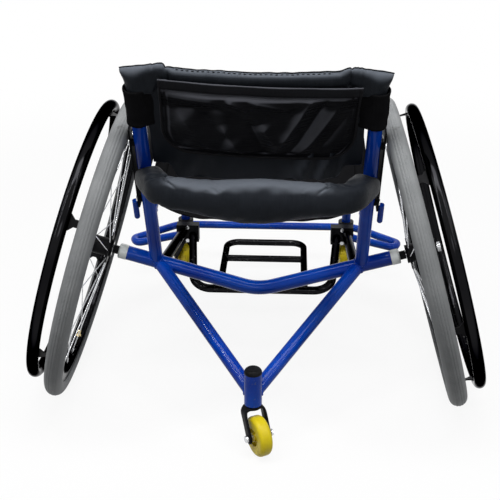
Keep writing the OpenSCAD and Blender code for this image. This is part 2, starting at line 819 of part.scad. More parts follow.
// Main wheel
module rim_flange(grow) {
    for (s = [-1, 1]) translate([rim_bed - flange_w, s * (rim_width - flange_w) / 2 - flange_w / 2 - grow])
        square([flange_up + flange_w + grow, flange_w + 2 * grow]);
}
module rim_outline() {
    translate([rim_inner, -rim_width / 2 + rim_round]) square([rim_depth, rim_width - 2 * rim_round]);
    translate([rim_inner + rim_round, -rim_width / 2]) square([rim_depth - rim_round, rim_width]);
    for (s = [-1, 1])
        translate([rim_inner + rim_round, s * (rim_width / 2 - rim_round)]) circle(r = rim_round);
    rim_flange(0);
}
module rim_right() { color(gloss_black) at_wheel() rotate_extrude() rim_outline(); }
module rim_left() { left() rim_right(); }
module tyre_right() {
    color(tyre_grey) at_wheel() rotate_extrude() difference() {
        union() {
            translate([tyre_radius, 0]) circle(r = tyre_section);
            translate([rim_bed + seat_gap, -bead_half]) square([tyre_section, 2 * bead_half]);
        }
        rim_flange(seat_gap);
    }
}
module tyre_left() { left() tyre_right(); }
module hub_right() {
    half = hub_length / 2;
    seat = half - hub_bearing_w;
    color(satin_black) at_wheel() difference() {
        union() {
            translate([0, 0, -half]) cylinder(d = hub_barrel_d, h = hub_length);
            for (z = [-half + hub_flange_in, half - hub_flange_in - hub_flange_w])
                translate([0, 0, z]) cylinder(d = hub_flange_d, h = hub_flange_w);
        }
        translate([0, 0, -half - overrun]) cylinder(d = axle_d + 2 * side_gap, h = hub_length + 2 * overrun);
        for (z = [-half - overrun, seat]) translate([0, 0, z])
            cylinder(d = hub_bearing_d, h = hub_bearing_w + overrun);
    }
}
module hub_left() { left() hub_right(); }
module hub_bearings_right() {
    half = hub_length / 2;
    color(steel) at_wheel() for (z = [-half, half - hub_bearing_w])
        translate([0, 0, z]) linear_extrude(hub_bearing_w)
            section(hub_bearing_d - 2 * run_gap, axle_d + 2 * run_gap);
}
module hub_bearings_left() { left() hub_bearings_right(); }
module spokes_right() {
    start_r = hub_flange_d / 2 + side_gap + spoke_d * sin(spoke_lean);
    end_r = rim_inner - side_gap;
    level = hub_length / 2 - hub_flange_in - hub_flange_w / 2;
    color(steel) at_wheel() for (i = [0 : spoke_count - 1]) {
        s = i % 2 == 0 ? 1 : -1;
        a = 360 * i / spoke_count;
        start = [start_r * cos(a), start_r * sin(a), s * level];
        finish = [end_r * cos(a + s * spoke_lean), end_r * sin(a + s * spoke_lean), 0];
        rod(start, finish, spoke_d);
        rod(finish - unit(finish - start) * nipple_len, finish, nipple_d);
    }
}
module spokes_left() { left() spokes_right(); }
module push_rim_right() {
    color(gloss_black) at_wheel() translate([0, 0, push_rim_offset])
        rotate_extrude() translate([push_rim_radius, 0]) circle(d = push_rim_d);
}
module push_rim_left() { left() push_rim_right(); }
module push_rim_tabs(turn) {
    tab_r = rim_inner + rim_depth / 2;
    start = rim_width / 2 + weld_gap;
    reach = push_rim_offset - push_rim_d / 2;
    color(satin_black) at_wheel() difference() {
        for (i = [0 : tab_count - 1]) rotate([0, 0, turn + 360 * i / tab_count])
            translate([tab_r - tab_thick / 2, 0, 0]) rotate([90, 0, 90]) linear_extrude(tab_thick)
                polygon([
                    [-tab_flare / 2, start], [tab_flare / 2, start],
                    [tab_neck / 2, start + tab_foot], [tab_neck / 2, reach - tab_sweep],
                    [tab_flare / 2, reach], [tab_flare / 2, push_rim_offset],
                    [-tab_flare / 2, push_rim_offset], [-tab_flare / 2, reach],
                    [-tab_neck / 2, reach - tab_sweep], [-tab_neck / 2, start + tab_foot]
                ]);
        translate([0, 0, push_rim_offset]) rotate_extrude()
            translate([push_rim_radius, 0]) circle(d = push_rim_d + 2 * weld_gap);
    }
}
module push_rim_tabs_right() { push_rim_tabs(right_tab_turn); }
module push_rim_tabs_left() { left() push_rim_tabs(left_tab_turn); }

// Casters, in a frame with the stem along Z and the axle ahead on +Y
module at_caster(x, y, swivel) { chair() translate([x, y, 0]) rotate([0, 0, swivel]) children(); }
module at_left_caster() { at_caster(-post_x, caster_y, left_swivel) children(); }
module at_right_caster() { at_caster(post_x, caster_y, right_swivel) children(); }
module at_antitip() { at_caster(0, -antitip_reach, antitip_swivel) children(); }
module across(z_low, d, h) {
    translate([z_low, caster_trail, caster_d / 2]) rotate([0, 90, 0]) cylinder(d = d, h = h);
}
module fork() {
    outer = fork_gap / 2 + arm_thick;
    low = crown_top - crown_thick;
    difference() {
        union() {
            translate([0, 0, low]) cylinder(d = crown_d, h = crown_thick);
            translate([-outer, -crown_d / 2 + arm_thick, low])
                cube([2 * outer, crown_d - 2 * arm_thick, crown_thick]);
            for (x = [-outer, fork_gap / 2]) translate([x, 0, 0]) rotate([90, 0, 90])
                linear_extrude(arm_thick) link_outline([0, crown_top - crown_d / 2 + arm_thick],
                    crown_d / 2 - arm_thick, [caster_trail, caster_d / 2], arm_boss);
            translate([0, 0, crown_top]) cylinder(d = stem_d, h = stem_len);
            translate([0, 0, crown_top]) cylinder(d = shoulder_d, h = shoulder_gap);
        }
        across(-outer - overrun, caster_bolt_d + 2 * weld_gap, 2 * (outer + overrun));
    }
}
module caster_tyre() {
    translate([0, caster_trail, caster_d / 2]) rotate([0, 90, 0]) rotate_extrude() {
        bore = caster_hub_d / 2 + run_gap;
        full = caster_d / 2;
        translate([bore, -caster_w / 2]) square([full - caster_round - bore, caster_w]);
        translate([bore, -caster_w / 2 + caster_round]) square([full - bore, caster_w - 2 * caster_round]);
        for (s = [0, 1]) mirror([0, s]) translate([full - caster_round, caster_w / 2 - caster_round])
            intersection() { circle(r = caster_round); square(caster_round); }
    }
}
module caster_hub() {
    half = caster_w / 2;
    difference() {
        across(-half, caster_hub_d, caster_w);
        for (x = [-half - overrun, half - caster_dish]) difference() {
            across(x, caster_dish_d, caster_dish + overrun);
            across(x, caster_nave_d, caster_dish + overrun);
        }
        across(-half - overrun, caster_bolt_d + 2 * run_gap, caster_w + 2 * overrun);
    }
}
module caster_bolt() {
    outer = fork_gap / 2 + arm_thick;
    inner = caster_w / 2 + seat_gap;
    across(-outer, caster_bolt_d, 2 * outer);
    for (x = [-outer - bolt_head_len, outer]) across(x, bolt_head_d, bolt_head_len);
    for (x = [-fork_gap / 2, inner]) across(x, sleeve_d, fork_gap / 2 - inner);
}
module stem_bearings() {
    bore = stem_d + 2 * run_gap;
    spots = [[-post_x, caster_y], [post_x, caster_y], [0, -antitip_reach]];
    color(steel) chair() for (p = spots, z = [housing_low + side_gap, bearing_high])
        translate([p.x, p.y, z]) linear_extrude(bearing_w) section(bearing_od, bore);
}
module caster_fork_left() { color(satin_black) at_left_caster() fork(); }
module caster_tyre_left() { color(caster_yellow) at_left_caster() caster_tyre(); }
module caster_hub_left() { color(caster_yellow) at_left_caster() caster_hub(); }
module caster_fork_right() { color(satin_black) at_right_caster() fork(); }
module caster_tyre_right() { color(caster_yellow) at_right_caster() caster_tyre(); }
module caster_hub_right() { color(caster_yellow) at_right_caster() caster_hub(); }
module antitip_fork() { color(satin_black) at_antitip() fork(); }
module antitip_tyre() { color(caster_yellow) at_antitip() caster_tyre(); }
module antitip_hub() { color(caster_yellow) at_antitip() caster_hub(); }
module caster_bolt_left() { color(steel) at_left_caster() caster_bolt(); }
module caster_bolt_right() { color(steel) at_right_caster() caster_bolt(); }
module antitip_bolt() { color(steel) at_antitip() caster_bolt(); }

camber_bar();
back_post_left();
back_post_right();
rear_strut_left();
rear_strut_right();
antitip_head_tube();
antitip_cap();
back_bar();
back_bar_pad();
side_frame_left();
side_frame_right();
lower_rail_left();
lower_rail_right();
caster_housing_left();
caster_housing_right();
front_bumper();
footrest_hanger();
footrest_loop();
footrest_clamps();
frame_bolts();
seat_sling();
back_upholstery();
back_pocket();
side_guard_left();
side_guard_right();
guard_stems();
axle_collar_left();
axle_collar_right();
axle_spacers();
axle_left();
axle_right();
release_button_left();
release_button_right();
tyre_left();
rim_left();
spokes_left();
hub_left();
hub_bearings_left();
push_rim_left();
push_rim_tabs_left();
tyre_right();
rim_right();
spokes_right();
hub_right();
hub_bearings_right();
push_rim_right();
push_rim_tabs_right();
stem_bearings();
caster_fork_left();
caster_tyre_left();
caster_hub_left();
caster_fork_right();
caster_tyre_right();
caster_hub_right();
antitip_fork();
antitip_tyre();
antitip_hub();
caster_bolt_left();
caster_bolt_right();
antitip_bolt();
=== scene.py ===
import json
import bmesh
import bpy
import numpy as np
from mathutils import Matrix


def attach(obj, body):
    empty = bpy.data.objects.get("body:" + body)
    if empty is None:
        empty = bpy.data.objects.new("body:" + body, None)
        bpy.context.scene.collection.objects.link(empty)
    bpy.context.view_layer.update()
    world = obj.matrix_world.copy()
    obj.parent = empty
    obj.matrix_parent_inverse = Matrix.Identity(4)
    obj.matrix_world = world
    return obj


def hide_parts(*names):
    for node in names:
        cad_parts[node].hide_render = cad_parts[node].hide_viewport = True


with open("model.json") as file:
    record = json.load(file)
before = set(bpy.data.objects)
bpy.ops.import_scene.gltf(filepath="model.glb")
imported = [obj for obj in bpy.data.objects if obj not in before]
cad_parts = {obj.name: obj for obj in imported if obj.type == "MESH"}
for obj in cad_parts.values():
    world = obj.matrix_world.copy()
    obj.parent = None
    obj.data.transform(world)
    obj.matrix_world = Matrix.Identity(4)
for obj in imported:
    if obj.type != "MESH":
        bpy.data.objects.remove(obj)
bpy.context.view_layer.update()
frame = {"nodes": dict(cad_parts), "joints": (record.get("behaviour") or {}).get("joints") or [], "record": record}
nodes = frame["nodes"]
joints = {joint["name"]: joint for joint in frame["joints"]}
scene = bpy.context.scene
sides = ("left", "right")
signOf = {"left": -1, "right": 1}
print("frame loaded:", len(nodes), "nodes")

# sizes shared by several pieces, in metres and degrees
chair = dict(postX=0.202, postLean=20.6, postTube=0.0254, barTube=0.0286, railTube=0.022)
hubAt = {side: np.array(joints[f"wheel_{side}_spin"]["pos_m"]) for side in sides}
axleDir = {side: np.array(joints[f"wheel_{side}_spin"]["axis"]) for side in sides}
axleY = hubAt["right"][1]
camberSlope = axleDir["right"][2] / axleDir["right"][0]
lean = np.radians(chair["postLean"])


def barHeight(x):                       # the camber bar falls from the hubs to the middle
    return hubAt["right"][2] - (hubAt["right"][0] - x) * camberSlope


postFoot = np.array([chair["postX"], axleY, barHeight(chair["postX"])])
alongPost = np.array([0, -np.sin(lean), np.cos(lean)])


def onPosts(x, y, z):                   # post frame: x across, y forward, z up along the posts
    x, y, z = np.broadcast_arrays(x, y, z)
    return np.stack([x, axleY + y * np.cos(lean) - z * np.sin(lean),
                     postFoot[2] + y * np.sin(lean) + z * np.cos(lean)], -1)


def unit(v):
    v = np.asarray(v, float)
    return v / np.maximum(np.linalg.norm(v, axis=-1, keepdims=True), 1e-12)


def ease(t):                            # 0 to 1 with soft ends
    t = np.clip(t, 0, 1)
    return t * t * (3 - 2 * t)


def hump(x, width):                     # bell of height 1
    return np.exp(-(np.asarray(x) / width) ** 2)


def oval(angle, power):                 # superellipse: cosine and sine raised to 2/power
    c, s = np.cos(angle), np.sin(angle)
    return np.sign(c) * np.abs(c) ** (2 / power), np.sign(s) * np.abs(s) ** (2 / power)


def ripples(u, v, seed, count, longest, shortest):
    # sum of sine waves with random directions, lengths between longest and shortest
    rng = np.random.default_rng(seed)
    total = 0
    for k in range(count):
        length = longest * (shortest / longest) ** rng.random()
        turn, phase = rng.random(2) * 2 * np.pi
        total = total + np.sin(2 * np.pi * (u * np.cos(turn) + v * np.sin(turn)) / length + phase)
    return total / count ** 0.5


def steps(grid, axis, closed):          # change from point to point along one direction of a grid
    if closed:
        return (np.roll(grid, -1, axis) - np.roll(grid, 1, axis)) / 2
    return np.gradient(grid, axis=axis)


def outward(grid, closeU, closeV):      # unit normals, pointing away from the middle of each row
    normal = unit(np.cross(steps(grid, 0, closeU), steps(grid, 1, closeV)))
    away = np.sum(normal * (grid - grid.mean(1, keepdims=True)))
    return normal if away > 0 else -normal


def refine(grid, times, closeU, closeV):
    # cubic in-between points along both directions
    for axis, closed in ((0, closeU), (1, closeV)):
        line = np.moveaxis(grid, axis, 0)
        n = len(line)
        t = np.arange(n * times if closed else (n - 1) * times + 1) / times
        i = np.minimum(t.astype(int), n - 1 if closed else n - 2)
        f = (t - i).reshape(-1, 1, 1)
        a, b, c, d = (line[(i + k) % n] if closed else line[np.clip(i + k, 0, n - 1)] for k in (-1, 0, 1, 2))
        line = b + 0.5 * f * (c - a + f * (2 * a - 5 * b + 4 * c - d + f * (3 * (b - c) + d - a)))
        grid = np.moveaxis(line, 0, axis)
    return grid


def lathe(profile, origin, axis, count=40):
    # ring of radius r at height h along the axis for each profile point (r, h)
    z = unit(axis)
    x = unit(np.cross(z, [0.31, 0.95, 0.05]))
    y = np.cross(z, x)
    turn = np.linspace(0, 2 * np.pi, count, endpoint=False)[:, None]
    r, h = np.array(profile, float).T
    ring = np.cos(turn) * x + np.sin(turn) * y
    return np.asarray(origin) + h[:, None, None] * z + r[:, None, None] * ring, False, True


def sweep(path, outline, up, closed=False):
    # outline (side, lift) carried along a path, side = path direction x up
    path = np.asarray(path, float)
    along = unit(steps(path, 0, closed))
    side = unit(np.cross(along, up))
    lift = np.cross(side, along)
    outline = np.broadcast_to(outline, (len(path),) + np.shape(outline)[-2:])
    return path[:, None] + outline[..., :1] * side[:, None] + outline[..., 1:] * lift[:, None], closed, True


def roundOutline(wide, high, power, count):
    x, y = oval(np.linspace(0, 2 * np.pi, count, endpoint=False), power)
    return np.stack([x * wide / 2, y * high / 2], -1)


def meshOf(name, parts, weld=1e-6):
    # quads between neighbours of each grid, with a map in metres along the grid's two directions
    points, faces, maps, start = [], [], [], 0
    for grid, closeU, closeV in parts:
        rows, cols = grid.shape[:2]
        flat = grid.reshape(-1, 3)
        i = np.arange(rows if closeU else rows - 1)[:, None]
        j = np.arange(cols if closeV else cols - 1)[None]
        i2, j2 = (i + 1) % rows, (j + 1) % cols
        quad = np.stack(np.broadcast_arrays(i * cols + j, i * cols + j2, i2 * cols + j2, i2 * cols + j), -1)
        quad = quad.reshape(-1, 4)
        stepU = np.linalg.norm(np.roll(grid, -1, 0) - grid, axis=-1).mean(1)
        stepV = np.linalg.norm(np.roll(grid, -1, 1) - grid, axis=-1).mean(0)
        runU, runV = np.concatenate([[0], np.cumsum(stepU)]), np.concatenate([[0], np.cumsum(stepV)])
        mapped = np.stack([
            np.stack(np.broadcast_arrays(runU[i + a], runV[j + b]), -1).reshape(-1, 2)
            for a, b in ((0, 0), (0, 1), (1, 1), (1, 0))], 1)
        corner = flat[quad] - flat.mean(0)
        volume = np.sum(corner[:, 0] * (np.cross(corner[:, 1], corner[:, 2]) + np.cross(corner[:, 2], corner[:, 3])))
        if volume < 0:
            quad, mapped = quad[:, ::-1], mapped[:, ::-1]
        points.append(flat)
        faces.append(quad + start)
        maps.append(mapped)
        start += len(flat)
    mesh = bpy.data.meshes.new(name)
    mesh.from_pydata(np.concatenate(points).tolist(), [], np.concatenate(faces).tolist())
    mesh.uv_layers.new(name="UVMap").data.foreach_set("uv", np.concatenate(maps).astype(np.float32).ravel())
    if weld:
        work = bmesh.new()
        work.from_mesh(mesh)
        bmesh.ops.remove_doubles(work, verts=work.verts, dist=weld)
        work.to_mesh(mesh)
        work.free()
    return mesh


def capped(part):                        # shuts both ends of a swept strip on their middle points
    grid, closeU, closeV = part
    ends = [np.repeat(row.mean(1, keepdims=True), grid.shape[1], 1) for row in (grid[:1], grid[-1:])]
    return np.concatenate([ends[0], grid, ends[1]]), closeU, closeV


def sealed(part, turned=0):             # shuts the open ends of a double-walled band, wall to wall
    grid, closeU, closeV = part
    other = (turned - 1 - np.arange(grid.shape[1])) % grid.shape[1]
    middle = (grid + grid[:, other]) / 2
    return np.concatenate([middle[:1], grid, middle[-1:]]), closeU, closeV


def piece(name, parts, paint, body, sharp=None, weld=1e-6):
    mesh = meshOf(name, parts, weld)
    mesh.shade_smooth()
    if sharp:
        mesh.set_sharp_from_angle(angle=np.radians(sharp))
    mesh.materials.append(paint.material)
    thing = bpy.data.objects.new(name, mesh)
    scene.collection.objects.link(thing)
    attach(thing, body)
    return thing


def paintLightByFacing(thing, low, high, toward=(0, 0, 1), across=(-1, 1), fade=0.03):
    # painted light from 0 to 1 as the surface turns from low to high toward one direction, the way the lamps fall;
    # none beyond across
    mesh = thing.data
    normal = np.empty(len(mesh.vertices) * 3, np.float32)
    mesh.vertex_normals.foreach_get("vector", normal)
    # painted light: faces turned toward the lamps get a paler colour, kept in a point attribute
    lint = ease((normal.reshape(-1, 3) @ unit(np.array(toward, float)) - low) / (high - low))
    place = np.empty(len(mesh.vertices) * 3, np.float32)
    mesh.vertices.foreach_get("co", place)
    lint = lint * ease((place[::3] - across[0]) / fade) * ease((across[1] - place[::3]) / fade)
    mesh.attributes.new("lint", "FLOAT", "POINT").data.foreach_set("value", lint.astype(np.float32))


def airUp(grid, closeU, closeV, sewn, slack, air):
    # cloth under pressure: sewn points stay, slack points have spare fabric, moves are capped
    mesh = meshOf("airUp", [(grid, closeU, closeV)], weld=0)
    bag = bpy.data.objects.new("airUp", mesh)
    scene.collection.objects.link(bag)
    for label, weights in (("sewn", sewn), ("slack", slack)):
        group = bag.vertex_groups.new(name=label)
        flat = np.broadcast_to(weights, grid.shape[:2]).ravel()
        for weight in np.unique(flat[flat > 0.01]):
            group.add(np.flatnonzero(flat == weight).tolist(), float(weight), "REPLACE")
    cloth = bag.modifiers.new("air", "CLOTH")
    wear = cloth.settings
    wear.quality = air["quality"]
    wear.mass = air["mass"]
    wear.use_pressure = True
    wear.uniform_pressure_force = air["pressure"]
    wear.effector_weights.gravity = 0
    wear.tension_stiffness = wear.compression_stiffness = air["stiffness"]
    wear.shear_stiffness = air["stiffness"] / 3
    wear.bending_stiffness = air["bending"]
    wear.vertex_group_mass = "sewn"
    wear.vertex_group_shrink = "slack"
    wear.shrink_min, wear.shrink_max = 0, -air["spare"]
    cloth.collision_settings.use_collision = False
    cloth.point_cache.frame_start, cloth.point_cache.frame_end = 1, air["frames"]
    for number in range(1, air["frames"] + 1):
        scene.frame_set(number)
    done = bag.evaluated_get(bpy.context.evaluated_depsgraph_get()).data
    moved = np.empty(len(done.vertices) * 3, np.float32)
    done.vertices.foreach_get("co", moved)
    move = moved.reshape(grid.shape).astype(float) - grid
    far = np.linalg.norm(move, axis=-1, keepdims=True)
    scene.frame_set(1)
    bpy.data.objects.remove(bag)
    print("  air: largest move %.1f mm" % (far.max() * 1000))
    return grid + move * np.minimum(1, air["cap"] / np.maximum(far, 1e-9))


class Wire:                             # a shader socket that takes part in Python sums
    def __init__(self, paint, socket):
        self.paint, self.socket = paint, socket

    def math(self, operation, *values):
        return self.paint.add("ShaderNodeMath", {"operation": operation}, dict(enumerate(values)))

    def __add__(self, other):
        return self.math("ADD", self, other)

    def __sub__(self, other):
        return self.math("SUBTRACT", self, other)

    def __rsub__(self, other):
        return self.math("SUBTRACT", other, self)

    def __mul__(self, other):
        return self.math("MULTIPLY", self, other)

    __radd__, __rmul__ = __add__, __mul__

    def sine(self):
        return self.math("SINE", self)

    def between(self, low, high):       # 0 below low, 1 above high, soft in between
        return self.paint.add("ShaderNodeMapRange", {"interpolation_type": "SMOOTHSTEP"},
                              {"Value": self, "From Min": low, "From Max": high})


class Paint:                            # one material, or the world, and its nodes
    def __init__(self, name, world=None, **fixed):
        self.material = world or bpy.data.materials.new(name)
        self.material.use_nodes = True
        self.tree = self.material.node_tree
        self.shader = self.tree.nodes["Background" if world else "Principled BSDF"]
        for label, value in fixed.items():
            self.shader.inputs[label.replace("_", " ")].default_value = value

    def add(self, kind, settings, sockets, out=0):
        node = self.tree.nodes.new(kind)
        for key, value in settings.items():
            setattr(node, key, value)
        for key, value in sockets.items():
            if isinstance(value, Wire):
                self.tree.links.new(value.socket, node.inputs[key])
            else:
                node.inputs[key].default_value = value
        return Wire(self, node.outputs[out])

    def place(self, kind="Object"):
        return self.add("ShaderNodeTexCoord", {}, {}, kind)

    def shown(self):                    # 1 to the camera, in reflections and through glass
        camera, glossy, through = (self.add("ShaderNodeLightPath", {}, {}, f"Is {kind} Ray")
                                   for kind in ("Camera", "Glossy", "Transmission"))
        return camera + glossy + through

    def part(self, vector, axis):
        return self.add("ShaderNodeSeparateXYZ", {}, {0: vector}, axis)

    def noise(self, scale, detail=2.0, vector=None):
        return self.add("ShaderNodeTexNoise", {}, {
            "Vector": vector or self.place(), "Scale": scale, "Detail": detail})

    def stretch(self, vector, scale):
        return self.add("ShaderNodeVectorMath", {"operation": "MULTIPLY"}, {0: vector, 1: scale})

    def blend(self, share, low, high):
        return self.add("ShaderNodeMix", {"data_type": "RGBA"}, {0: share, 6: low, 7: high}, 2)

    def feed(self, color=None, roughness=None, height=None, depth=0.0005, strength=1.0):
        for label, wire in (("Base Color", color), ("Roughness", roughness)):
            if wire is not None:
                self.tree.links.new(wire.socket, self.shader.inputs[label])
        if height is not None:
            bump = self.add("ShaderNodeBump", {}, {"Strength": strength, "Distance": depth, "Height": height})
            self.tree.links.new(bump.socket, self.shader.inputs["Normal"])
        return self


def rgb(red, green, blue):
    return (red, green, blue, 1.0)


# gloss paint over metal: slow cloud in the colour, orange peel, small scuffs near the floor
def glossPaint(name, deep, bright, scuff, roughness, **fixed):
    paint = Paint(name, **fixed)
    cloud = paint.noise(9, 3)
    peel = paint.noise(420, 1)
    height = paint.part(paint.place(), 2)
    chips = paint.noise(170, 4).between(0.63, 0.68) * (1 - height.between(0.08, 0.24)) * 0.7
    color = paint.blend(chips, paint.blend(cloud.between(0.3, 0.7), deep, bright), scuff)
    return paint.feed(color, roughness + cloud * 0.06 + chips * 0.35, peel * 0.5 - chips, 0.0004, 0.1)


# moulded or coated black: fine grain, paler rubbed patches
def grainPlastic(name, base, rubbed, roughness, grain, shine):
    paint = Paint(name, Specular_IOR_Level=shine)
    cloud = paint.noise(30, 4)
    fine = paint.noise(grain, 2)
    color = paint.blend(cloud.between(0.45, 0.8), base, rubbed)
    return paint.feed(color, roughness + cloud * 0.14, fine, 0.0004, 0.2)


# woven nylon on the piece's own map: two sets of threads, pulled ones, and painted light that makes the cloth paler
# where it faces the lamps
def nylon(name, dark, light, pitch, roughness, shine):
    paint = Paint(name, Specular_IOR_Level=shine)
    mapped = paint.place("UV")
    warp = (paint.part(mapped, 0) * (2 * np.pi / pitch)).sine()
    weft = (paint.part(mapped, 1) * (2 * np.pi / pitch)).sine()
    weave = warp * weft
    slub = paint.noise(1, 2, paint.stretch(mapped, (900, 30, 1)))
    cloud = paint.noise(22, 4)
    lint = paint.add("ShaderNodeAttribute", {"attribute_name": "lint"}, {}, "Fac")
    # the attribute read above is painted light: it moves the colour toward the light tone on faces turned to the
    # lamps
    shade = 0.06 + lint * 0.78 + weave * 0.06 + (slub - 0.5) * 0.08 + (cloud - 0.5) * 0.14
    return paint.feed(paint.blend(shade, dark, light), roughness + (slub - 0.5) * 0.12,
                      weave * 0.6 + slub * 0.4, 0.0003, 0.35)


# ribbed tape on its own map: ribs across, darker edges
def ribbedTape(name, dark, light, rib):
    paint = Paint(name, Specular_IOR_Level=0.06)
    mapped = paint.place("UV")
    ribs = (paint.part(mapped, 0) * (2 * np.pi / rib)).sine()
    cords = (paint.part(mapped, 1) * (2 * np.pi / rib * 1.7)).sine()
    fuzz = paint.noise(300, 3)
    shade = 0.45 + ribs * 0.25 + cords * 0.12 + (fuzz - 0.5) * 0.4
    return paint.feed(paint.blend(shade, dark, light), 0.62 + fuzz * 0.2, ribs + cords * 0.5, 0.0004, 0.5)


# turned or drawn metal: streaks along x, light tarnish
def barMetal(name, base, dull, roughness, metallic):
    paint = Paint(name, Metallic=metallic)
    streak = paint.noise(1, 3, paint.stretch(paint.place(), (60, 900, 900)))
    tarnish = paint.noise(85, 4)
    color = paint.blend(tarnish.between(0.48, 0.75), base, dull)
    return paint.feed(color, roughness + streak * 0.12 + tarnish * 0.1, streak, 0.0002, 0.15)


# soft rubber: mottled, dusted, with dark scuffs
def rubber(name, base, pale, dirt, roughness, dirtFrom, shine):
    paint = Paint(name, Specular_IOR_Level=shine)
    cloud = paint.noise(16, 4)
    pores = paint.noise(750, 2)
    scuffs = paint.noise(38, 5).between(dirtFrom, dirtFrom + 0.09)
    color = paint.blend(scuffs * 0.55, paint.blend(cloud.between(0.3, 0.75), base, pale), dirt)
    return paint.feed(color, roughness + cloud * 0.12 + scuffs * 0.08, pores - scuffs * 0.6, 0.0004, 0.25)


frameBlue = glossPaint("frameBlue", rgb(0.001, 0.029, 0.31), rgb(0.002, 0.064, 0.47), rgb(0.10, 0.11, 0.13), 0.13,
                       Specular_IOR_Level=0.10, Coat_Weight=0.06, Coat_Roughness=0.05)
gloss = glossPaint("glossBlack", rgb(0.007, 0.007, 0.008), rgb(0.012, 0.012, 0.013), rgb(0.06, 0.06, 0.06), 0.07,
                   Metallic=1.0, Specular_Tint=rgb(0.06, 0.06, 0.065))
satin = grainPlastic("satinBlack", rgb(0.005, 0.005, 0.006), rgb(0.013, 0.013, 0.015), 0.32, 1500, 0.06)
guardSkin = grainPlastic("guardBlack", rgb(0.003, 0.003, 0.004), rgb(0.007, 0.007, 0.008), 0.42, 900, 0.03)
cloth = nylon("charcoalNylon", rgb(0.008, 0.010, 0.014), rgb(0.070, 0.078, 0.095), 0.0011, 0.40, 0.06)
linerCloth = nylon("linerNylon", rgb(0.010, 0.012, 0.016), rgb(0.140, 0.156, 0.184), 0.0009, 0.40, 0.04)
pocketCloth = nylon("pocketNylon", rgb(0.003, 0.003, 0.004), rgb(0.090, 0.093, 0.108), 0.0008, 0.27, 0.02)
wrapCloth = nylon("wrapNylon", rgb(0.010, 0.010, 0.011), rgb(0.030, 0.030, 0.034), 0.0009, 0.6, 0.0)
tape = ribbedTape("blackTape", rgb(0.004, 0.004, 0.005), rgb(0.016, 0.016, 0.018), 0.0016)
thread = ribbedTape("sewingThread", rgb(0.008, 0.009, 0.011), rgb(0.024, 0.026, 0.030), 0.0006)
steel = barMetal("brightSteel", rgb(0.62, 0.63, 0.65), rgb(0.40, 0.40, 0.41), 0.16, 1.0)
pale = barMetal("paleCollar", rgb(0.66, 0.69, 0.68), rgb(0.50, 0.53, 0.53), 0.34, 0.25)
tyreSkin = rubber("greyTyre", rgb(0.193, 0.200, 0.205), rgb(0.254, 0.262, 0.267), rgb(0.11, 0.112, 0.11),
                  0.55, 0.66, 0.2)
yellow = rubber("yellowCaster", rgb(0.68, 0.52, 0.006), rgb(0.82, 0.66, 0.012), rgb(0.34, 0.22, 0.02),
                0.34, 0.62, 0.3)
yellowHub = rubber("yellowHub", rgb(0.55, 0.41, 0.006), rgb(0.70, 0.54, 0.01), rgb(0.2, 0.13, 0.02), 0.36, 0.6, 0.3)
brass = barMetal("valveBrass", rgb(0.62, 0.50, 0.26), rgb(0.30, 0.25, 0.16), 0.24, 1.0)

# carried-over solids and the finish each wears
worn = {
    frameBlue: ["camber_bar", "back_post_*", "rear_strut_*", "antitip_head_tube", "back_bar", "side_frame_*",
                "front_bumper", "guard_stems"],
    gloss: ["lower_rail_*", "footrest_hanger", "footrest_loop", "push_rim_*", "rim_*"],
    satin: ["antitip_cap", "caster_housing_*", "footrest_clamps", "axle_spacers", "hub_*", "push_rim_tabs_*",
            "release_button_*", "caster_fork_*", "antitip_fork"],
    guardSkin: ["side_guard_*"],
    cloth: ["back_bar_pad", "seat_sling", "back_upholstery", "back_pocket"],
    steel: ["frame_bolts", "axle_left", "axle_right", "spokes_*", "hub_bearings_*", "stem_bearings", "caster_bolt_*",
            "antitip_bolt"],
    pale: ["axle_collar_*"],
    tyreSkin: ["tyre_*"],
    yellow: ["caster_tyre_*", "antitip_tyre"],
    yellowHub: ["caster_hub_*", "antitip_hub"],
}
for paint, names in worn.items():
    for name in names:
        for full in ([name.replace("*", side) for side in sides] if "*" in name else [name]):
            nodes[full].data.materials.clear()
            nodes[full].data.materials.append(paint.material)
print("finishes on the solids:", len(worn))

# tyre: round section with a bead between the rim's edges, grooves and slanted nicks in the tread
tyre = dict(ring=0.288, section=0.017, around=864, nicks=216, across=61, lipFrom=0.2752, lipTop=0.2790,
            lipOut=0.0113, lipIn=0.0085, bed=0.2710, groove=0.0009, grooveWide=3.2, grooveAt=(9, 27), nick=0.0007,
            nickFrom=11, nickTo=25, nickSlant=14)


def tyreRing(side):
    # radius = ring + section * cos(tilt), offset = section * sin(tilt); tread depth taken off the section
    t = tyre
    edge = np.degrees(np.arccos((t["lipFrom"] - t["ring"]) / t["section"]))
    tilt = np.linspace(-edge, edge, t["across"])
    turn = np.linspace(0, 2 * np.pi, t["around"], endpoint=False)[:, None]
    cut = sum(hump(np.abs(tilt) - at, t["grooveWide"]) for at in t["grooveAt"]) * t["groove"]
    band = ease((np.abs(tilt) - t["nickFrom"]) / 2) * ease((t["nickTo"] - np.abs(tilt)) / 2)
    slant = np.radians(np.abs(tilt)) * t["nickSlant"]
    cut = cut + t["nick"] * band * ease(np.sin(turn * t["nicks"] + slant) * 1.4 - 0.2)
    section = t["section"] - cut
    radius = t["ring"] + section * np.cos(np.radians(tilt))
    offset = section * np.sin(np.radians(tilt))
    lip = np.array([[t["lipFrom"], t["lipOut"]], [t["lipTop"], t["lipOut"]], [t["lipTop"], t["lipIn"]],
                    [t["bed"], t["lipIn"]], [t["bed"], -t["lipIn"]], [t["lipTop"], -t["lipIn"]],
                    [t["lipTop"], -t["lipOut"]], [t["lipFrom"], -t["lipOut"]]])
    spread = np.ones_like(turn)
    radius = np.concatenate([radius, spread * lip[:, 0]], 1)[..., None]
    offset = np.concatenate([offset, spread * lip[:, 1]], 1)[..., None]
    forward = np.array([0, 1, 0])
    upward = np.cross(axleDir[side], forward)
    spoke = np.cos(turn)[..., None] * forward + np.sin(turn)[..., None] * upward
    return hubAt[side] + radius * spoke + offset * axleDir[side], True, True


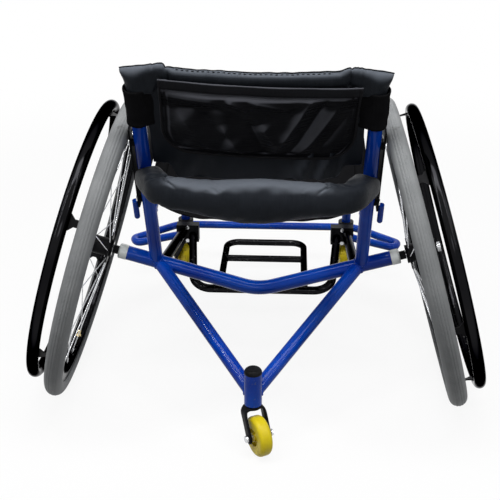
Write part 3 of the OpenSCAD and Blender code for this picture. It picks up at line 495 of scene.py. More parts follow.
for side in sides:
    made = piece(f"tyreTread_{side}", [tyreRing(side)], tyreSkin, f"wheel_{side}", sharp=40)
    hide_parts(f"tyre_{side}")
print("tyres done")

# valve: threaded stem with a black cap, standing inward from the rim
valve = dict(rimInner=0.2577, sunk=0.001, angle=78, stem=0.0027, cap=0.0036, reach=0.034, capLong=0.012, foot=0.0052,
             footHigh=0.003, threadFrom=0.004, threadDeep=0.00025, threadPitch=0.0011, capSide=0.008,
             capShoulder=0.0105)
for side in sides:
    v = valve
    turn = np.radians(v["angle"])
    inward = -(np.cos(turn) * np.array([0, 1, 0]) + np.sin(turn) * np.cross(axleDir[side], [0, 1, 0]))
    base = hubAt[side] - inward * (v["rimInner"] + v["sunk"])
    bare = v["reach"] - v["capLong"]
    h = np.linspace(v["threadFrom"], bare, 60)
    threads = np.stack([v["stem"] + v["threadDeep"] * np.sin(h * 2 * np.pi / v["threadPitch"]), h], -1)
    stemLine = np.concatenate([[[0, 0], [v["foot"], 0], [v["foot"], v["footHigh"]], [v["stem"], v["threadFrom"]]],
                               threads, [[0, bare]]])
    capLine = [[0, bare], [v["cap"], bare], [v["cap"], bare + v["capSide"]],
               [v["cap"] * 0.8, bare + v["capShoulder"]], [v["cap"] * 0.4, v["reach"]], [0, v["reach"]]]
    piece(f"valveStem_{side}", [lathe(stemLine, base, inward, 16)], brass, f"wheel_{side}", sharp=50)
    piece(f"valveCap_{side}", [lathe(capLine, base, inward, 20)], satin, f"wheel_{side}", sharp=40)
print("valves done")

# caster fork: one rounded strap bent over the wheel, bosses at the axle, a stem into the housing
fork = dict(armX=0.0195, axleZ=0.0375, archFrom=0.066, archTop=0.0882, squareness=3.4, leanFrom=0.082,
            crownHalf=0.0150, armHalf=0.0098, bossHalf=0.0092, crownThick=0.0040, armThick=0.0027, cornerPower=4,
            bossRadius=0.0088, bossOut=0.0006, bossIn=0.0004, bossBevel=0.001, neck=(0.0125, 0.0118), neckRise=0.0008,
            stem=0.006, stemTop=0.134, shoulder=0.0075, housingLow=0.0935, housingGap=0.0002)


def forkParts(which):
    f = fork
    stem = np.array(joints[f"caster_{which}_swivel"]["pos_m"]) * [1, 1, 0]
    axle = np.array(joints[f"caster_{which}_spin"]["pos_m"])
    across = unit(joints[f"caster_{which}_spin"]["axis"])
    trail = (axle - stem) * [1, 1, 0]
    # half arch: x = armX * cos^(2/n), z = archFrom + rise * sin^(2/n); straight arms below it, mirrored
    x, z = oval(np.linspace(0, np.pi / 2, 30), f["squareness"])
    x, z = x * f["armX"], f["archFrom"] + z * (f["archTop"] - f["archFrom"])
    low = np.linspace(f["axleZ"] - f["bossHalf"], f["archFrom"], 26)[:-1]
    x, z = np.concatenate([np.full(len(low), f["armX"]), x]), np.concatenate([low, z])
    x, z = np.concatenate([x, -x[-2::-1]]), np.concatenate([z, z[-2::-1]])
    run = np.concatenate([[0], np.cumsum(np.hypot(np.diff(x), np.diff(z)))])
    even = np.linspace(0, run[-1], 121)
    x, z = np.interp(even, run, x), np.interp(even, run, z)
    y = np.maximum(0, (f["leanFrom"] - z) / (f["leanFrom"] - f["axleZ"]))
    path = stem + x[:, None] * across + y[:, None] * trail + z[:, None] * np.array([0, 0, 1])
    high = ease((z - f["axleZ"]) / (f["archTop"] - f["axleZ"]))
    crown = ease(1 - np.abs(x) / f["armX"])
    half = f["bossHalf"] + (f["armHalf"] - f["bossHalf"]) * high + (f["crownHalf"] - f["armHalf"]) * crown
    below = np.clip((f["axleZ"] - z) / f["bossHalf"], 0, 0.9999)
    half = half * np.sqrt(1 - below ** 2)
    thick = f["armThick"] + (f["crownThick"] - f["armThick"]) * crown
    cx, cy = oval(np.linspace(0, 2 * np.pi, 28, endpoint=False), f["cornerPower"])
    outline = np.stack([thick[:, None] * cx, half[:, None] * cy], -1)
    strap = sweep(path, outline, unit(trail))
    outer = f["armX"] + f["armThick"]
    inner = f["armX"] - f["armThick"]
    parts = [strap]
    for sign in (-1, 1):
        boss = [[0, inner - f["bossIn"]], [f["bossRadius"] - f["bossBevel"], inner - f["bossIn"]],
                [f["bossRadius"], inner + f["bossIn"]], [f["bossRadius"], outer],
                [f["bossRadius"] - f["bossOut"], outer + f["bossOut"]], [0, outer + f["bossOut"]]]
        parts.append(lathe(boss, axle, across * sign))
    top, low = f["archTop"] + f["crownThick"], f["housingLow"] - f["housingGap"]
    post = [[0, f["archTop"]], [f["neck"][0], f["archTop"]], [f["neck"][1], top],
            [f["shoulder"], top + f["neckRise"]], [f["shoulder"], low], [f["stem"], low], [f["stem"], f["stemTop"]],
            [0, f["stemTop"]]]
    parts.append(lathe(post, stem, [0, 0, 1]))
    return parts


for which, node in (("left", "caster_fork_left"), ("right", "caster_fork_right"), ("antitip", "antitip_fork")):
    made = piece(f"forkStrap_{which}", forkParts(which), satin, f"swivel_{which}", sharp=50)
    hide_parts(node)
print("caster forks done")

# weld beads where the tubes meet, rippled along the seam
weld = dict(bead=0.0021, ripple=0.16, pitch=0.0032, points=160, strutX=0.198, strutTube=0.0254, reach=0.240,
            footZ=0.112, headTube=0.0325, seatRear=0.386, seatFront=0.458, seatFrontY=0.372, railX=0.190, stemY=0.487,
            railFrontZ=0.121, housing=0.038, bumper=0.019, bumperZ=0.104, wing=(0.318, 0.422), hangerY=0.232,
            footHeight=0.080, hanger=0.019, loop=0.016, loopHalf=0.097, loopBarY=0.396)


def seam(start, along, tube, spot, axis, other):
    # for each line along the first tube, the point where it leaves the second tube:
    # |w + t d| = R across that tube, a quadratic in t
    d, e = unit(along), unit(axis)
    n1 = unit(np.cross(d, e))
    n2 = np.cross(d, n1)
    turn = np.linspace(0, 2 * np.pi, weld["points"], endpoint=False)[:, None]
    radial = np.cos(turn) * n1 + np.sin(turn) * n2
    from0 = start + radial * tube / 2
    w = from0 - spot
    w = w - (w @ e)[:, None] * e
    across = d - (d @ e) * e
    a, b = across @ across, w @ across
    c = np.sum(w * w, 1) - (other / 2) ** 2
    t = (-b + np.sqrt(np.maximum(b * b - a * c, 0))) / a
    point = from0 + t[:, None] * d
    away = point - spot
    away = unit(away - (away @ e)[:, None] * e)
    return bead(point, unit(radial + away))


def bead(point, out):
    # round bead along a closed seam; its radius swells once for each puddle of the weld
    run = np.linalg.norm(np.roll(point, -1, 0) - point, axis=1)
    length = run.sum()
    puddles = max(8, round(length / weld["pitch"]))
    phase = (np.cumsum(run) - run) / length * puddles
    radius = weld["bead"] * (1 + weld["ripple"] * np.sin(2 * np.pi * phase))
    along = unit(steps(point, 0, True))
    side = np.cross(along, out)
    turn = np.linspace(0, 2 * np.pi, 10, endpoint=False)
    ring = np.cos(turn)[:, None, None] * out + np.sin(turn)[:, None, None] * side
    return (point + radius[:, None] * ring).transpose(1, 0, 2), True, True


def weldLists():
    k = weld
    shift = np.array([0, axleY, 0])
    blue, black = [], []
    for sign in (-1, 1):
        flip = np.array([sign, 1, 1])
        bar = (flip * [0, axleY, barHeight(0)], flip * axleDir["right"], chair["barTube"])
        post = (flip * postFoot, alongPost, chair["postTube"])
        strutTop = flip * [k["strutX"], axleY, barHeight(k["strutX"])]
        strutFoot = shift + [0, -k["reach"], k["footZ"]]
        head = (strutFoot, np.array([0, 0, 1.0]), k["headTube"])
        stem = flip * [chair["postX"], axleY + k["stemY"], 0]
        house = (stem, np.array([0, 0, 1.0]), k["housing"])
        seatRear = post[0] + alongPost * (k["seatRear"] - postFoot[2]) / alongPost[2]
        seatFront = flip * [chair["postX"], axleY + k["seatFrontY"], k["seatFront"]]
        railRear = flip * [k["railX"], axleY, barHeight(k["railX"])]
        railFront = stem + [0, 0, k["railFrontZ"]]
        bumperRoot = stem + [0, 0, k["bumperZ"]]
        wingEnd = shift + flip * [k["wing"][0], k["wing"][1], k["bumperZ"]]
        hanger = (shift + [0, k["hangerY"], k["footHeight"]], np.array([1.0, 0, 0]), k["hanger"])
        loopLeg = shift + flip * [k["loopHalf"], k["hangerY"], k["footHeight"]]
        blue += [
            seam(post[0], alongPost, chair["postTube"], *bar),
            seam(strutTop, strutFoot - strutTop, k["strutTube"], *bar),
            seam(strutFoot, strutTop - strutFoot, k["strutTube"], *head),
            seam(seatRear, seatFront - seatRear, chair["railTube"], *post),
            seam(bumperRoot, wingEnd - bumperRoot, k["bumper"], *house),
        ]
        black += [
            seam(railRear, railFront - railRear, chair["railTube"], *bar),
            seam(railFront, railRear - railFront, chair["railTube"], *house),
            seam(loopLeg, np.array([0, 1.0, 0]), k["loop"], *hanger),
            seam(loopLeg + [0, k["loopBarY"] - k["hangerY"], 0], flip * [-1.0, 0, 0], k["loop"] * 0.98,
                 loopLeg, np.array([0, 1.0, 0]), k["loop"]),
        ]
    return blue, black


blueWelds, blackWelds = weldLists()
piece("frameWelds", blueWelds, frameBlue, "frame")
piece("railWelds", blackWelds, gloss, "frame")
print("weld beads done:", len(blueWelds) + len(blackWelds))

# padded roll on the back bar: oval rings carried along the bar, plumped by air, creased at the bends
roll = dict(barZ=0.462, barBack=0.163, half=0.163, bend=0.040, tall=0.086, endTall=0.056, sag=0.090, sink=0.005,
            leftLift=0.009, liftFrom=0.05, liftOver=0.12, deep=0.050, power=2.8, start=0.94, endRound=0.020, nip=0.05,
            nipWide=0.013, rows=120, around=44, times=2, bar=0.0097, postGap=0.0140, nearPost=0.035, hook=0.022,
            hookFrom=0.008, hookTo=0.023, held=0.010, slackWide=0.030, seamAngle=250, seamHeld=9, seamDeep=0.0016,
            seamWide=3.5, shoulder=0.35, wander=0.0003, fade=0.012)
# painted light on the roll's upward faces; none near its ends, which stay darker as if shaded by the back
rollPaintedLight = dict(low=0.38, high=0.90, across=(-0.168, 0.140))
rollAir = dict(quality=7, mass=0.25, pressure=4.0, stiffness=18, bending=0.6, spare=0.16, cap=0.006, frames=16)
rollCreases = [                          # place along the bar, angle round it, depth, half length, width, slant
    dict(at=-0.166, angle=92, depth=0.0110, span=44, wide=0.0038, slant=0.012),
    dict(at=-0.152, angle=78, depth=0.0090, span=30, wide=0.0032, slant=-0.020),
    dict(at=-0.142, angle=104, depth=0.0065, span=26, wide=0.0032, slant=0.020),
    dict(at=-0.118, angle=112, depth=0.0030, span=20, wide=0.0040, slant=0.030),
    dict(at=-0.076, angle=118, depth=0.0075, span=20, wide=0.0036, slant=0.026),
    dict(at=0.118, angle=104, depth=0.0115, span=34, wide=0.0036, slant=-0.020),
    dict(at=0.128, angle=84, depth=0.0080, span=34, wide=0.0036, slant=0.024),
    dict(at=0.150, angle=100, depth=0.0030, span=26, wide=0.0040, slant=-0.018),
    dict(at=-0.162, angle=-60, depth=0.0030, span=40, wide=0.0050, slant=0.010),
    dict(at=0.150, angle=-60, depth=0.0030, span=40, wide=0.0050, slant=-0.010),
]


def rollPath(s):
    # straight run, arc of the bend radius, straight run to the post; heading is the turn so far
    k = roll
    postY = -np.tan(lean) * (k["barZ"] - postFoot[2])
    side = np.array([chair["postX"] - k["half"], postY + k["barBack"]])
    turnAll = np.arctan2(side[1], side[0])
    cut = k["bend"] * np.tan(turnAll / 2)
    turnAt = k["half"] - cut
    turnEnd = turnAt + k["bend"] * turnAll
    reach = turnEnd + np.linalg.norm(side) - cut - k["postGap"]
    a = np.abs(s)
    turned = np.clip((a - turnAt) / k["bend"], 0, turnAll)
    rest = np.maximum(0, a - turnEnd)
    x = np.minimum(a, turnAt) + k["bend"] * np.sin(turned) + rest * np.cos(turnAll)
    y = k["bend"] * (1 - np.cos(turned)) - k["barBack"] + rest * np.sin(turnAll)
    return x * np.sign(s), y + axleY, turned * np.sign(s), reach, (turnAt + turnEnd) / 2


def rollRing(s, angle, shrink):
    # oval of height tall(s), low at the ends, nipped at the bends and rounded over at the tips;
    # near a post its outer side runs on past the post, and its end leans as the post does
    k = roll
    x, y, heading, reach, bendAt = rollPath(s)
    a = np.abs(s)
    tall = k["endTall"] + (k["tall"] - k["endTall"]) * hump(a, k["sag"])
    nip = 1 - k["nip"] * hump(a - bendAt, k["nipWide"])
    tip = np.sqrt(np.clip(1 - (np.maximum(0, a - reach + k["endRound"]) / k["endRound"]) ** 2, 0, 1))
    size = nip * shrink * (0.55 + 0.45 * tip)
    back, lift = oval(angle, k["power"])
    out = np.maximum(k["bar"], k["deep"] / 2 * size)[:, None] * back
    high = np.maximum(k["bar"], tall / 2 * size)[:, None] * lift
    near = ease((a - reach + k["nearPost"]) / k["nearPost"])[:, None]
    hook = k["hook"] * ease((out - k["hookFrom"] - 0.15 * high) / (k["hookTo"] - k["hookFrom"]))
    slide = near * (hook - np.tan(lean) * np.sin(np.abs(heading))[:, None] * high) * np.sign(s)[:, None]
    away = np.stack([np.sin(heading), -np.cos(heading), np.zeros_like(heading)], -1)
    along = np.stack([np.cos(heading), np.sin(heading), np.zeros_like(heading)], -1)
    z = k["barZ"] + k["leftLift"] * ease((-s - k["liftFrom"]) / k["liftOver"]) - k["sink"] * hump(s, k["sag"])
    centre = np.stack([x, y, z], -1)
    return (centre[:, None] + out[..., None] * away[:, None] + slide[..., None] * along[:, None]
            + high[..., None] * np.array([0, 0, 1.0]))


def paddedRoll():
    k = roll
    reach, bendAt = rollPath(np.zeros(1))[3:]
    s = np.linspace(-reach, reach, k["rows"])
    angle = np.linspace(0, 2 * np.pi, k["around"], endpoint=False)
    grid = rollRing(s, angle, k["start"])
    edge = (np.abs(s) > reach - k["held"]).astype(float)[:, None]
    under = (np.abs(np.degrees(angle) - k["seamAngle"]) < k["seamHeld"]).astype(float)[None]
    slack = hump(np.abs(s) - bendAt, k["slackWide"])[:, None] * (0.35 + 0.65 * (np.sin(angle) > -0.3))[None]
    grid = airUp(grid, False, True, np.maximum(edge, under), slack, rollAir)
    grid = refine(grid, k["times"], False, True)
    fineS = np.interp(np.arange(len(grid)) / k["times"], np.arange(k["rows"]), s)[:, None]
    fineA = np.arange(grid.shape[1])[None] * 360 / grid.shape[1]
    dent = np.zeros(grid.shape[:2])
    for c in rollCreases:                # valley with a narrow bottom, fading along its length
        off = (fineA - c["angle"] + 180) % 360 - 180
        across = fineS - c["at"] - c["slant"] * off / 60
        valley = np.exp(-np.abs(across) / c["wide"]) - k["shoulder"] * hump(across, 3 * c["wide"])
        dent += c["depth"] * valley * hump(off, c["span"])
    seamDent = k["seamDeep"] * hump(((fineA - k["seamAngle"] + 180) % 360 - 180), k["seamWide"])
    wander = k["wander"] * ripples(fineS, np.radians(fineA) * 0.03, 5, 14, 0.09, 0.02)
    fade = ease((reach - np.abs(fineS)) / k["fade"])
    grid = grid - outward(grid, False, True) * ((dent + seamDent + wander) * fade)[..., None]
    middle = [(grid[i] + np.roll(grid[i][::-1], 1, 0)) / 2 for i in (0, -1)]
    inset = [grid[i] * 0.5 + middle[n] * 0.5 for n, i in enumerate((0, -1))]
    return np.concatenate([[middle[0], inset[0]], grid, [inset[1], middle[1]]])


made = piece("paddedRoll", [(paddedRoll(), False, True)], linerCloth, "frame")
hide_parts("back_bar_pad")
# painted light on the roll's top
paintLightByFacing(made, **rollPaintedLight)
print("padded roll done")

# back panel: flat padded slab between the posts, bowed backwards, lower in the middle, with soft folds low down
panel = dict(half=0.184, low=0.2585, tail=0.028, tailHalf=0.156, tailSoft=0.014, high=0.450, thick=0.0095, bow=0.014,
             power=5, rows=44, across=46, times=2, start=0.8, edgeRound=0.005, heldSide=0.010, heldEnd=0.008,
             fold=0.0030, foldFoot=0.24, foldTop=0.345, foldOver=0.05, foldEdge=0.012, foldIn=0.03, soft=0.0006)
# painted light on the panel's folds that turn up, left and back toward the lamps; none beyond across
panelPaintedLight = dict(low=-0.20, high=0.24, toward=(-0.62, -0.20, 0.74), across=(-0.062, 0.175))
panelAir = dict(quality=6, mass=0.25, pressure=3.0, stiffness=15, bending=0.5, spare=0.02, cap=0.005, frames=12)
panelFolds = [                           # across at the foot, lean, height, width
    (-0.128, 0.50, 1.0, 0.012), (-0.098, 0.10, -1.1, 0.014), (-0.052, -0.30, 0.8, 0.010), (0.020, 0.15, -0.7, 0.016),
    (0.058, 0.35, -1.5, 0.010), (0.078, 0.32, 1.3, 0.007), (0.098, 0.30, -1.0, 0.008), (0.116, 0.28, 1.0, 0.007),
    (0.140, 0.10, -0.8, 0.010),
]


def bowAt(x):                            # how far the back is bowed at x
    return -panel["bow"] * (1 - (x / chair["postX"]) ** 2)


def backPanel():
    # superellipse section of width 2 half, carried up the posts from an edge that drops in the middle
    k = panel
    v = np.linspace(0, 1, k["rows"])
    rise = (0.55 * v + 0.45 * (1 - np.cos(v * np.pi)) / 2)[:, None]
    cx, cy = oval(np.linspace(0, 2 * np.pi, 2 * k["across"], endpoint=False), k["power"])
    x = k["half"] * cx[None] + 0 * rise
    low = k["low"] - k["tail"] * ease((k["tailHalf"] - np.abs(x)) / k["tailSoft"])
    z = low + (k["high"] - low) * rise
    end = np.minimum(z - low, k["high"] - z)
    blunt = np.sqrt(np.clip(1 - (1 - np.minimum(end / k["edgeRound"], 1)) ** 2, 0.02, 1))
    thick = k["thick"] / 2 * k["start"] * blunt
    grid = onPosts(x, bowAt(x) + thick * cy[None], z)
    border = (np.abs(x) > k["half"] - k["heldSide"]) | (end < k["heldEnd"])
    grid = airUp(grid, False, True, border.astype(float), 1.0, panelAir)
    grid = refine(grid, k["times"], False, True)
    fineX = grid[..., 0]
    fineZ = (grid - onPosts(0, 0, 0)) @ alongPost
    low = ease((k["foldTop"] - fineZ) / k["foldOver"])
    low = low * ease((k["half"] - k["foldEdge"] - np.abs(fineX)) / k["foldIn"])
    up = fineZ - k["foldFoot"]
    folds = sum(high * hump(fineX - at - up * slope, wide) for at, slope, high, wide in panelFolds)
    soft = k["soft"] * ripples(fineX, fineZ, 11, 12, 0.11, 0.03)
    grid = grid + outward(grid, False, True) * (k["fold"] * folds * low + soft * 0.8)[..., None]
    return sealed((grid, False, True), turned=1)


made = piece("backPanel", [backPanel()], cloth, "frame")
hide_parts("back_upholstery")
# painted light on the panel's folds
paintLightByFacing(made, **panelPaintedLight)
print("back panel done")

# liner folded over the top of the back: an upside-down U across the posts, pinched to an ear at each end
liner = dict(half=0.2220, rearLow=0.4310, rearLowOut=0.4120, lowFrom=0.160, lowOver=0.012, frontLow=0.3450,
             edge=[(-0.2215, 0.4500), (-0.150, 0.4655), (-0.132, 0.4575), (0.0, 0.4550), (0.136, 0.4540),
                   (0.152, 0.4620), (0.2225, 0.4445)],
             gap=0.0070, endGap=0.0046, postGap=0.0082, postWide=0.019, ear=0.019, flare=0.0075, flareFrom=0.186,
             flareOver=0.034, flareDeep=0.045, beak=0.0015, beakDeep=0.016, beakFrom=0.200, beakOver=0.022,
             thick=0.0080, postThick=0.0040, thinFrom=0.165, thinOver=0.02, hemRound=0.004, rows=104, around=52,
             times=2, start=0.8)
linerHold = dict(seam=0.3, hem=0.007, tightFrom=0.180, tightBelow=0.430, slackAt=0.172, slackWide=0.02)
linerSewn = dict(seamTurn=70, groove=0.0016, grooveWide=0.9, grooveEnd=0.146, grooveFade=0.01, stitchEnd=0.136,
                 pipeTurn=96, pipe=0.0030, pipeOver=0.001)
linerCrease = dict(leftX=0.144, rightX=0.155, deep=0.0055, wide=0.0038, slant=0.10, secondX=0.022, secondDeep=0.0010,
                   secondWide=0.0030, secondSlant=0.35, low=0.405, over=0.02, soft=0.0005)
# painted light on the liner's faces that look up
linerPaintedLight = dict(low=-0.15, high=1.0)
linerAir = dict(quality=6, mass=0.25, pressure=3.5, stiffness=15, bending=0.5, spare=0.05, cap=0.005, frames=14)


def linerTop(x):                         # straight runs between the points of the edge
    return np.interp(x, *np.array(liner["edge"]).T)


def linerGap(x):                         # half the space inside the fold
    k = liner
    out = np.abs(x)
    gap = k["gap"] + k["postGap"] * hump(np.minimum(out - chair["postX"], 0), k["postWide"])
    close = np.sqrt(np.clip(1 - (np.maximum(0, out - k["half"] + k["ear"]) / k["ear"]) ** 2, 0, 1))
    return k["endGap"] + (gap - k["endGap"]) * close


def linerRuns(x):                        # height of the fold, half its space, length up the rear and in all
    k = liner
    top, gap = linerTop(x), linerGap(x)
    rearLow = k["rearLow"] + (k["rearLowOut"] - k["rearLow"]) * ease((np.abs(x) - k["lowFrom"]) / k["lowOver"])
    rear = top - gap - rearLow
    return top, gap, rear, rear + np.pi * gap + top - gap - k["frontLow"]


def linerAcross(count):                  # places across the back, closer together at the ends
    turn = np.linspace(-1, 1, count) * np.pi / 2 * 0.92
    return liner["half"] * np.sin(turn) / np.sin(turn[-1])


def sewnColumn(x, turn):                 # column of the fine grid that lies at a turn round the fold
    k = liner
    top, gap, rear, whole = linerRuns(x)
    return (rear + gap * np.radians(turn)) / whole * (k["around"] // 2 - 1) * k["times"]


def linerFold():
    # centre line of the U: up the rear, half a circle over the top, down the front; a wall to each side of it
    k = liner
    x = linerAcross(k["rows"])
    top, gap, rear, whole = (run[:, None] for run in linerRuns(x))
    d = np.linspace(0, 1, k["around"] // 2) * whole
    turn = np.clip((d - rear) / gap, 0, np.pi)
    rise = np.where(d < rear, d - rear, -np.maximum(0, d - rear - np.pi * gap))
    y, z = -np.cos(turn) * gap, top - gap + np.sin(turn) * gap + rise
    ny, nz = -np.cos(turn), np.sin(turn)
    edge = np.minimum(d, whole - d)
    thin = ease((np.abs(x) - k["thinFrom"]) / k["thinOver"])
    thick = k["thick"] * k["start"] + (k["postThick"] - k["thick"] * k["start"]) * thin
    half = thick[:, None] / 2 * np.sqrt(np.clip(1 - (1 - np.minimum(edge / k["hemRound"], 1)) ** 2, 0.05, 1))
    ringY = np.concatenate([y + ny * half, (y - ny * half)[:, ::-1]], 1)
    ringZ = np.concatenate([z + nz * half, (z - nz * half)[:, ::-1]], 1)
    ringX = np.broadcast_to(x[:, None], ringY.shape)
    below = 1 - (1 - np.clip((top - ringZ) / k["flareDeep"], 0, 1)) ** 2
    point = np.clip(1 - (top - ringZ) / k["beakDeep"], 0, 1) ** 2
    point = point * ease((np.abs(ringX) - k["beakFrom"]) / k["beakOver"])
    ringX = ringX - np.sign(ringX) * k["flare"] * ease((np.abs(ringX) - k["flareFrom"]) / k["flareOver"]) * below
    ringX = ringX + np.sign(ringX) * k["beak"] * point
    grid = onPosts(ringX, ringY + bowAt(x)[:, None], ringZ)
    n = ringY.shape[1]
    inner = (np.arange(n) >= n // 2)[None]
    ends = (np.abs(x) > 0.98 * k["half"])[:, None]
    hold, sewn, c = linerHold, linerSewn, linerCrease
    line, hem = np.abs(turn - np.radians(sewn["seamTurn"])) < hold["seam"], edge < hold["hem"]
    held = np.concatenate([line | hem, (line | hem)[:, ::-1]], 1)
    tight = (np.abs(x) > hold["tightFrom"])[:, None] & (ringZ < hold["tightBelow"])
    slack = 0.3 + 0.7 * hump(np.abs(x) - hold["slackAt"], hold["slackWide"])[:, None]
    grid = airUp(grid, False, True, (inner | ends | held | tight).astype(float), slack, linerAir)
    grid = refine(grid, k["times"], False, True)
    fine = grid - onPosts(0, 0, 0)
    fx, fz = fine[..., 0], fine @ alongPost
    outer = (np.arange(grid.shape[1]) < grid.shape[1] // 2).astype(float)
    down = linerTop(fx) - fz
    beside = np.abs(fx) - np.where(fx < 0, c["leftX"], c["rightX"])
    crease = (c["deep"] * np.exp(-np.abs(beside + down * c["slant"]) / c["wide"])
              + c["secondDeep"] * np.exp(-np.abs(beside - c["secondX"] + down * c["secondSlant"]) / c["secondWide"]))
    crease = crease * ease((fz - c["low"]) / c["over"])
    soft = c["soft"] * ripples(fx, fz, 23, 12, 0.08, 0.02)
    off = np.arange(grid.shape[1])[None] - sewnColumn(linerAcross(len(grid)), sewn["seamTurn"])[:, None]
    groove = sewn["groove"] * hump(off, sewn["grooveWide"])
    groove = groove * ease((sewn["grooveEnd"] - np.abs(fx)) / sewn["grooveFade"])
    grid = grid - outward(grid, False, True) * ((crease + soft + groove) * outer)[..., None]
    return sealed((grid, False, True), turned=1 - k["times"])


linerPart = linerFold()
made = piece("linerFold", [linerPart], linerCloth, "frame")
# painted light on the liner's upward faces
paintLightByFacing(made, **linerPaintedLight)
print("liner done")

# stitches: short round-ended threads laid along a sewn line
stitch = dict(pitch=0.0085, long=0.0052, thick=0.0016, lift=0.0005, rings=5, around=6)


def stitchRun(line, out):
    # each stitch is a capsule: radius thick/2 * sqrt(1 - t^4) along its length, set on the line by its place
    k = stitch
    run = np.concatenate([[0], np.cumsum(np.linalg.norm(np.diff(line, axis=0), axis=1))])
    at = np.arange(k["pitch"], run[-1] - k["pitch"], k["pitch"])
    t = np.linspace(-1, 1, k["rings"])
    place = at[:, None] + t * k["long"] / 2
    spot = np.stack([np.interp(place, run, line[:, i]) for i in range(3)], -1)
    face = unit(np.stack([np.interp(place, run, out[:, i]) for i in range(3)], -1))
    along = unit(spot[:, -1:] - spot[:, :1])
    side = np.cross(face, along)
    radius = (k["thick"] / 2 * np.sqrt(1 - t ** 4))[None, :, None, None]
    turn = np.linspace(0, 2 * np.pi, k["around"], endpoint=False)[:, None]
    ring = np.cos(turn) * face[:, :, None] + np.sin(turn) * side[:, :, None]
    return [(grid, False, True) for grid in spot[:, :, None] + k["lift"] * face[:, :, None] + radius * ring]


def linerLine(turn, reach):
    # on each row of the liner, the point of the outer wall at a turn round the fold, with the way it faces
    grid = linerPart[0][1:-1]
    face = outward(grid, False, True)
    x = linerAcross(len(grid))
    column = sewnColumn(x, turn)
    row, first = np.arange(len(grid)), column.astype(int)
    share = (column - first)[:, None]
    keep = np.abs(x) < reach
    return [(a[row, first] * (1 - share) + a[row, first + 1] * share)[keep] for a in (grid, face)]


stitches = stitchRun(*linerLine(linerSewn["seamTurn"], linerSewn["stitchEnd"]))
piece("linerStitches", stitches, thread, "frame")
ridge = linerLine(linerSewn["pipeTurn"], liner["half"] + linerSewn["pipeOver"])[0]
piping = sweep(ridge, roundOutline(linerSewn["pipe"], linerSewn["pipe"], 2, 10), np.array([0, 0, 1.0]))
piece("linerPiping", [capped(piping)], thread, "frame")
print("liner stitches and piping done")

# wraps round the posts: a flat loop of tape-edged nylon from the post to an inner edge
wrap = dict(low=0.3460, high=0.4185, post=0.0194, inner=0.0065, innerX=0.1740, wall=0.0016, rows=26, around=96,
            hem=0.0007, hemIn=0.004, hemWide=0.0035, soft=0.0005)


def wrapLoop(sign):
    # outline of two discs and the lines that touch both, walked at an even pace
    k = wrap
    reach = chair["postX"] - k["innerX"]
    touch = np.arccos((k["post"] - k["inner"]) / reach)
    big = np.linspace(-np.pi + touch, np.pi - touch, 60)
    small = np.linspace(np.pi - touch, np.pi + touch, 40)
    px = np.concatenate([chair["postX"] + k["post"] * np.cos(big), k["innerX"] + k["inner"] * np.cos(small)])
    py = np.concatenate([k["post"] * np.sin(big), k["inner"] * np.sin(small)])
    px, py = np.append(px, px[0]), np.append(py, py[0])
    run = np.concatenate([[0], np.cumsum(np.hypot(np.diff(px), np.diff(py)))])
    even = np.linspace(0, run[-1], k["around"], endpoint=False)
    x, y = np.interp(even, run, px), np.interp(even, run, py)
    nx, ny = np.gradient(y), -np.gradient(x)
    size = np.hypot(nx, ny)
    nx, ny = nx / size, ny / size
    z = np.linspace(k["low"], k["high"], k["rows"])[:, None]
    hem = hump(z - k["low"] - k["hemIn"], k["hemWide"]) + hump(z - k["high"] + k["hemIn"], k["hemWide"])
    hem = k["hem"] * hem
    soft = k["soft"] * ripples(even[None], z, 31 + sign, 10, 0.06, 0.02)
    outer = onPosts(sign * (x + nx * (hem + soft)), y + ny * (hem + soft), z)
    inner = onPosts(sign * (x - nx * k["wall"]), y - ny * k["wall"], z)
    return np.concatenate([outer, inner[::-1]]), True, True


for side in sides:
    made = piece(f"postWrap_{side}", [wrapLoop(signOf[side])], wrapCloth, "frame")
print("post wraps done")

# pocket: a hanging pouch with rounded lower corners, a hem along its mouth and tape round its edge
pocket = dict(middle=0.008, half=0.1670, top=0.4395, low=0.2860, corner=0.050, tilt=-2.4, off=0.0064, offTop=0.0150,
              offFrom=0.385, offOver=0.035, bulge=0.0090, rows=110, across=180, thick=0.0014, hem=0.017,
              hemThick=0.0032, hemUp=0.001, hemOut=0.0014, hemWave=0.0006, hemTurns=61, hemGap=0.002, hemSoft=0.008,
              tape=0.0062, tapeThick=0.0034, tapeIn=0.0028, tapeOut=0.0012, seamIn=0.0125, seamDeep=0.0016,
              seamWide=0.0022, foldBlunt=0.0012, soft=0.0003)
# painted light: the pouch's folds turned toward the lamps and the top of the hem are made paler
pouchPaintedLight = dict(low=-0.04, high=0.32, toward=(-0.62, -0.20, 0.74))
mouthPaintedLight = dict(low=-0.60, high=0.60)
pocketFolds = [                          # start and end across and down (0 to 1), height, width
    ((0.04, 0.20), (0.30, 0.21), 0.0060, 0.007), ((0.05, 0.36), (0.31, 0.33), -0.0060, 0.010),
    ((0.34, 0.18), (0.45, 0.30), 0.0070, 0.007), ((0.46, 0.18), (0.66, 0.27), 0.0070, 0.007),
    ((0.20, 0.38), (0.36, 0.80), -0.0090, 0.013), ((0.10, 0.44), (0.25, 0.90), 0.0080, 0.012),
    ((0.02, 0.52), (0.12, 0.88), -0.0060, 0.010), ((0.32, 0.58), (0.42, 0.98), 0.0070, 0.010),
    ((0.44, 0.46), (0.55, 0.98), -0.0090, 0.013), ((0.52, 0.52), (0.60, 0.80), 0.0080, 0.010),
    ((0.76, 0.14), (0.58, 0.96), 0.0090, 0.009), ((0.84, 0.14), (0.66, 0.98), -0.0110, 0.012),
    ((0.93, 0.12), (0.72, 0.96), 0.0090, 0.009), ((0.98, 0.22), (0.82, 0.84), -0.0090, 0.011),
    ((0.97, 0.44), (0.88, 0.96), 0.0070, 0.010), ((0.20, 0.86), (0.46, 0.94), 0.0060, 0.008),
]


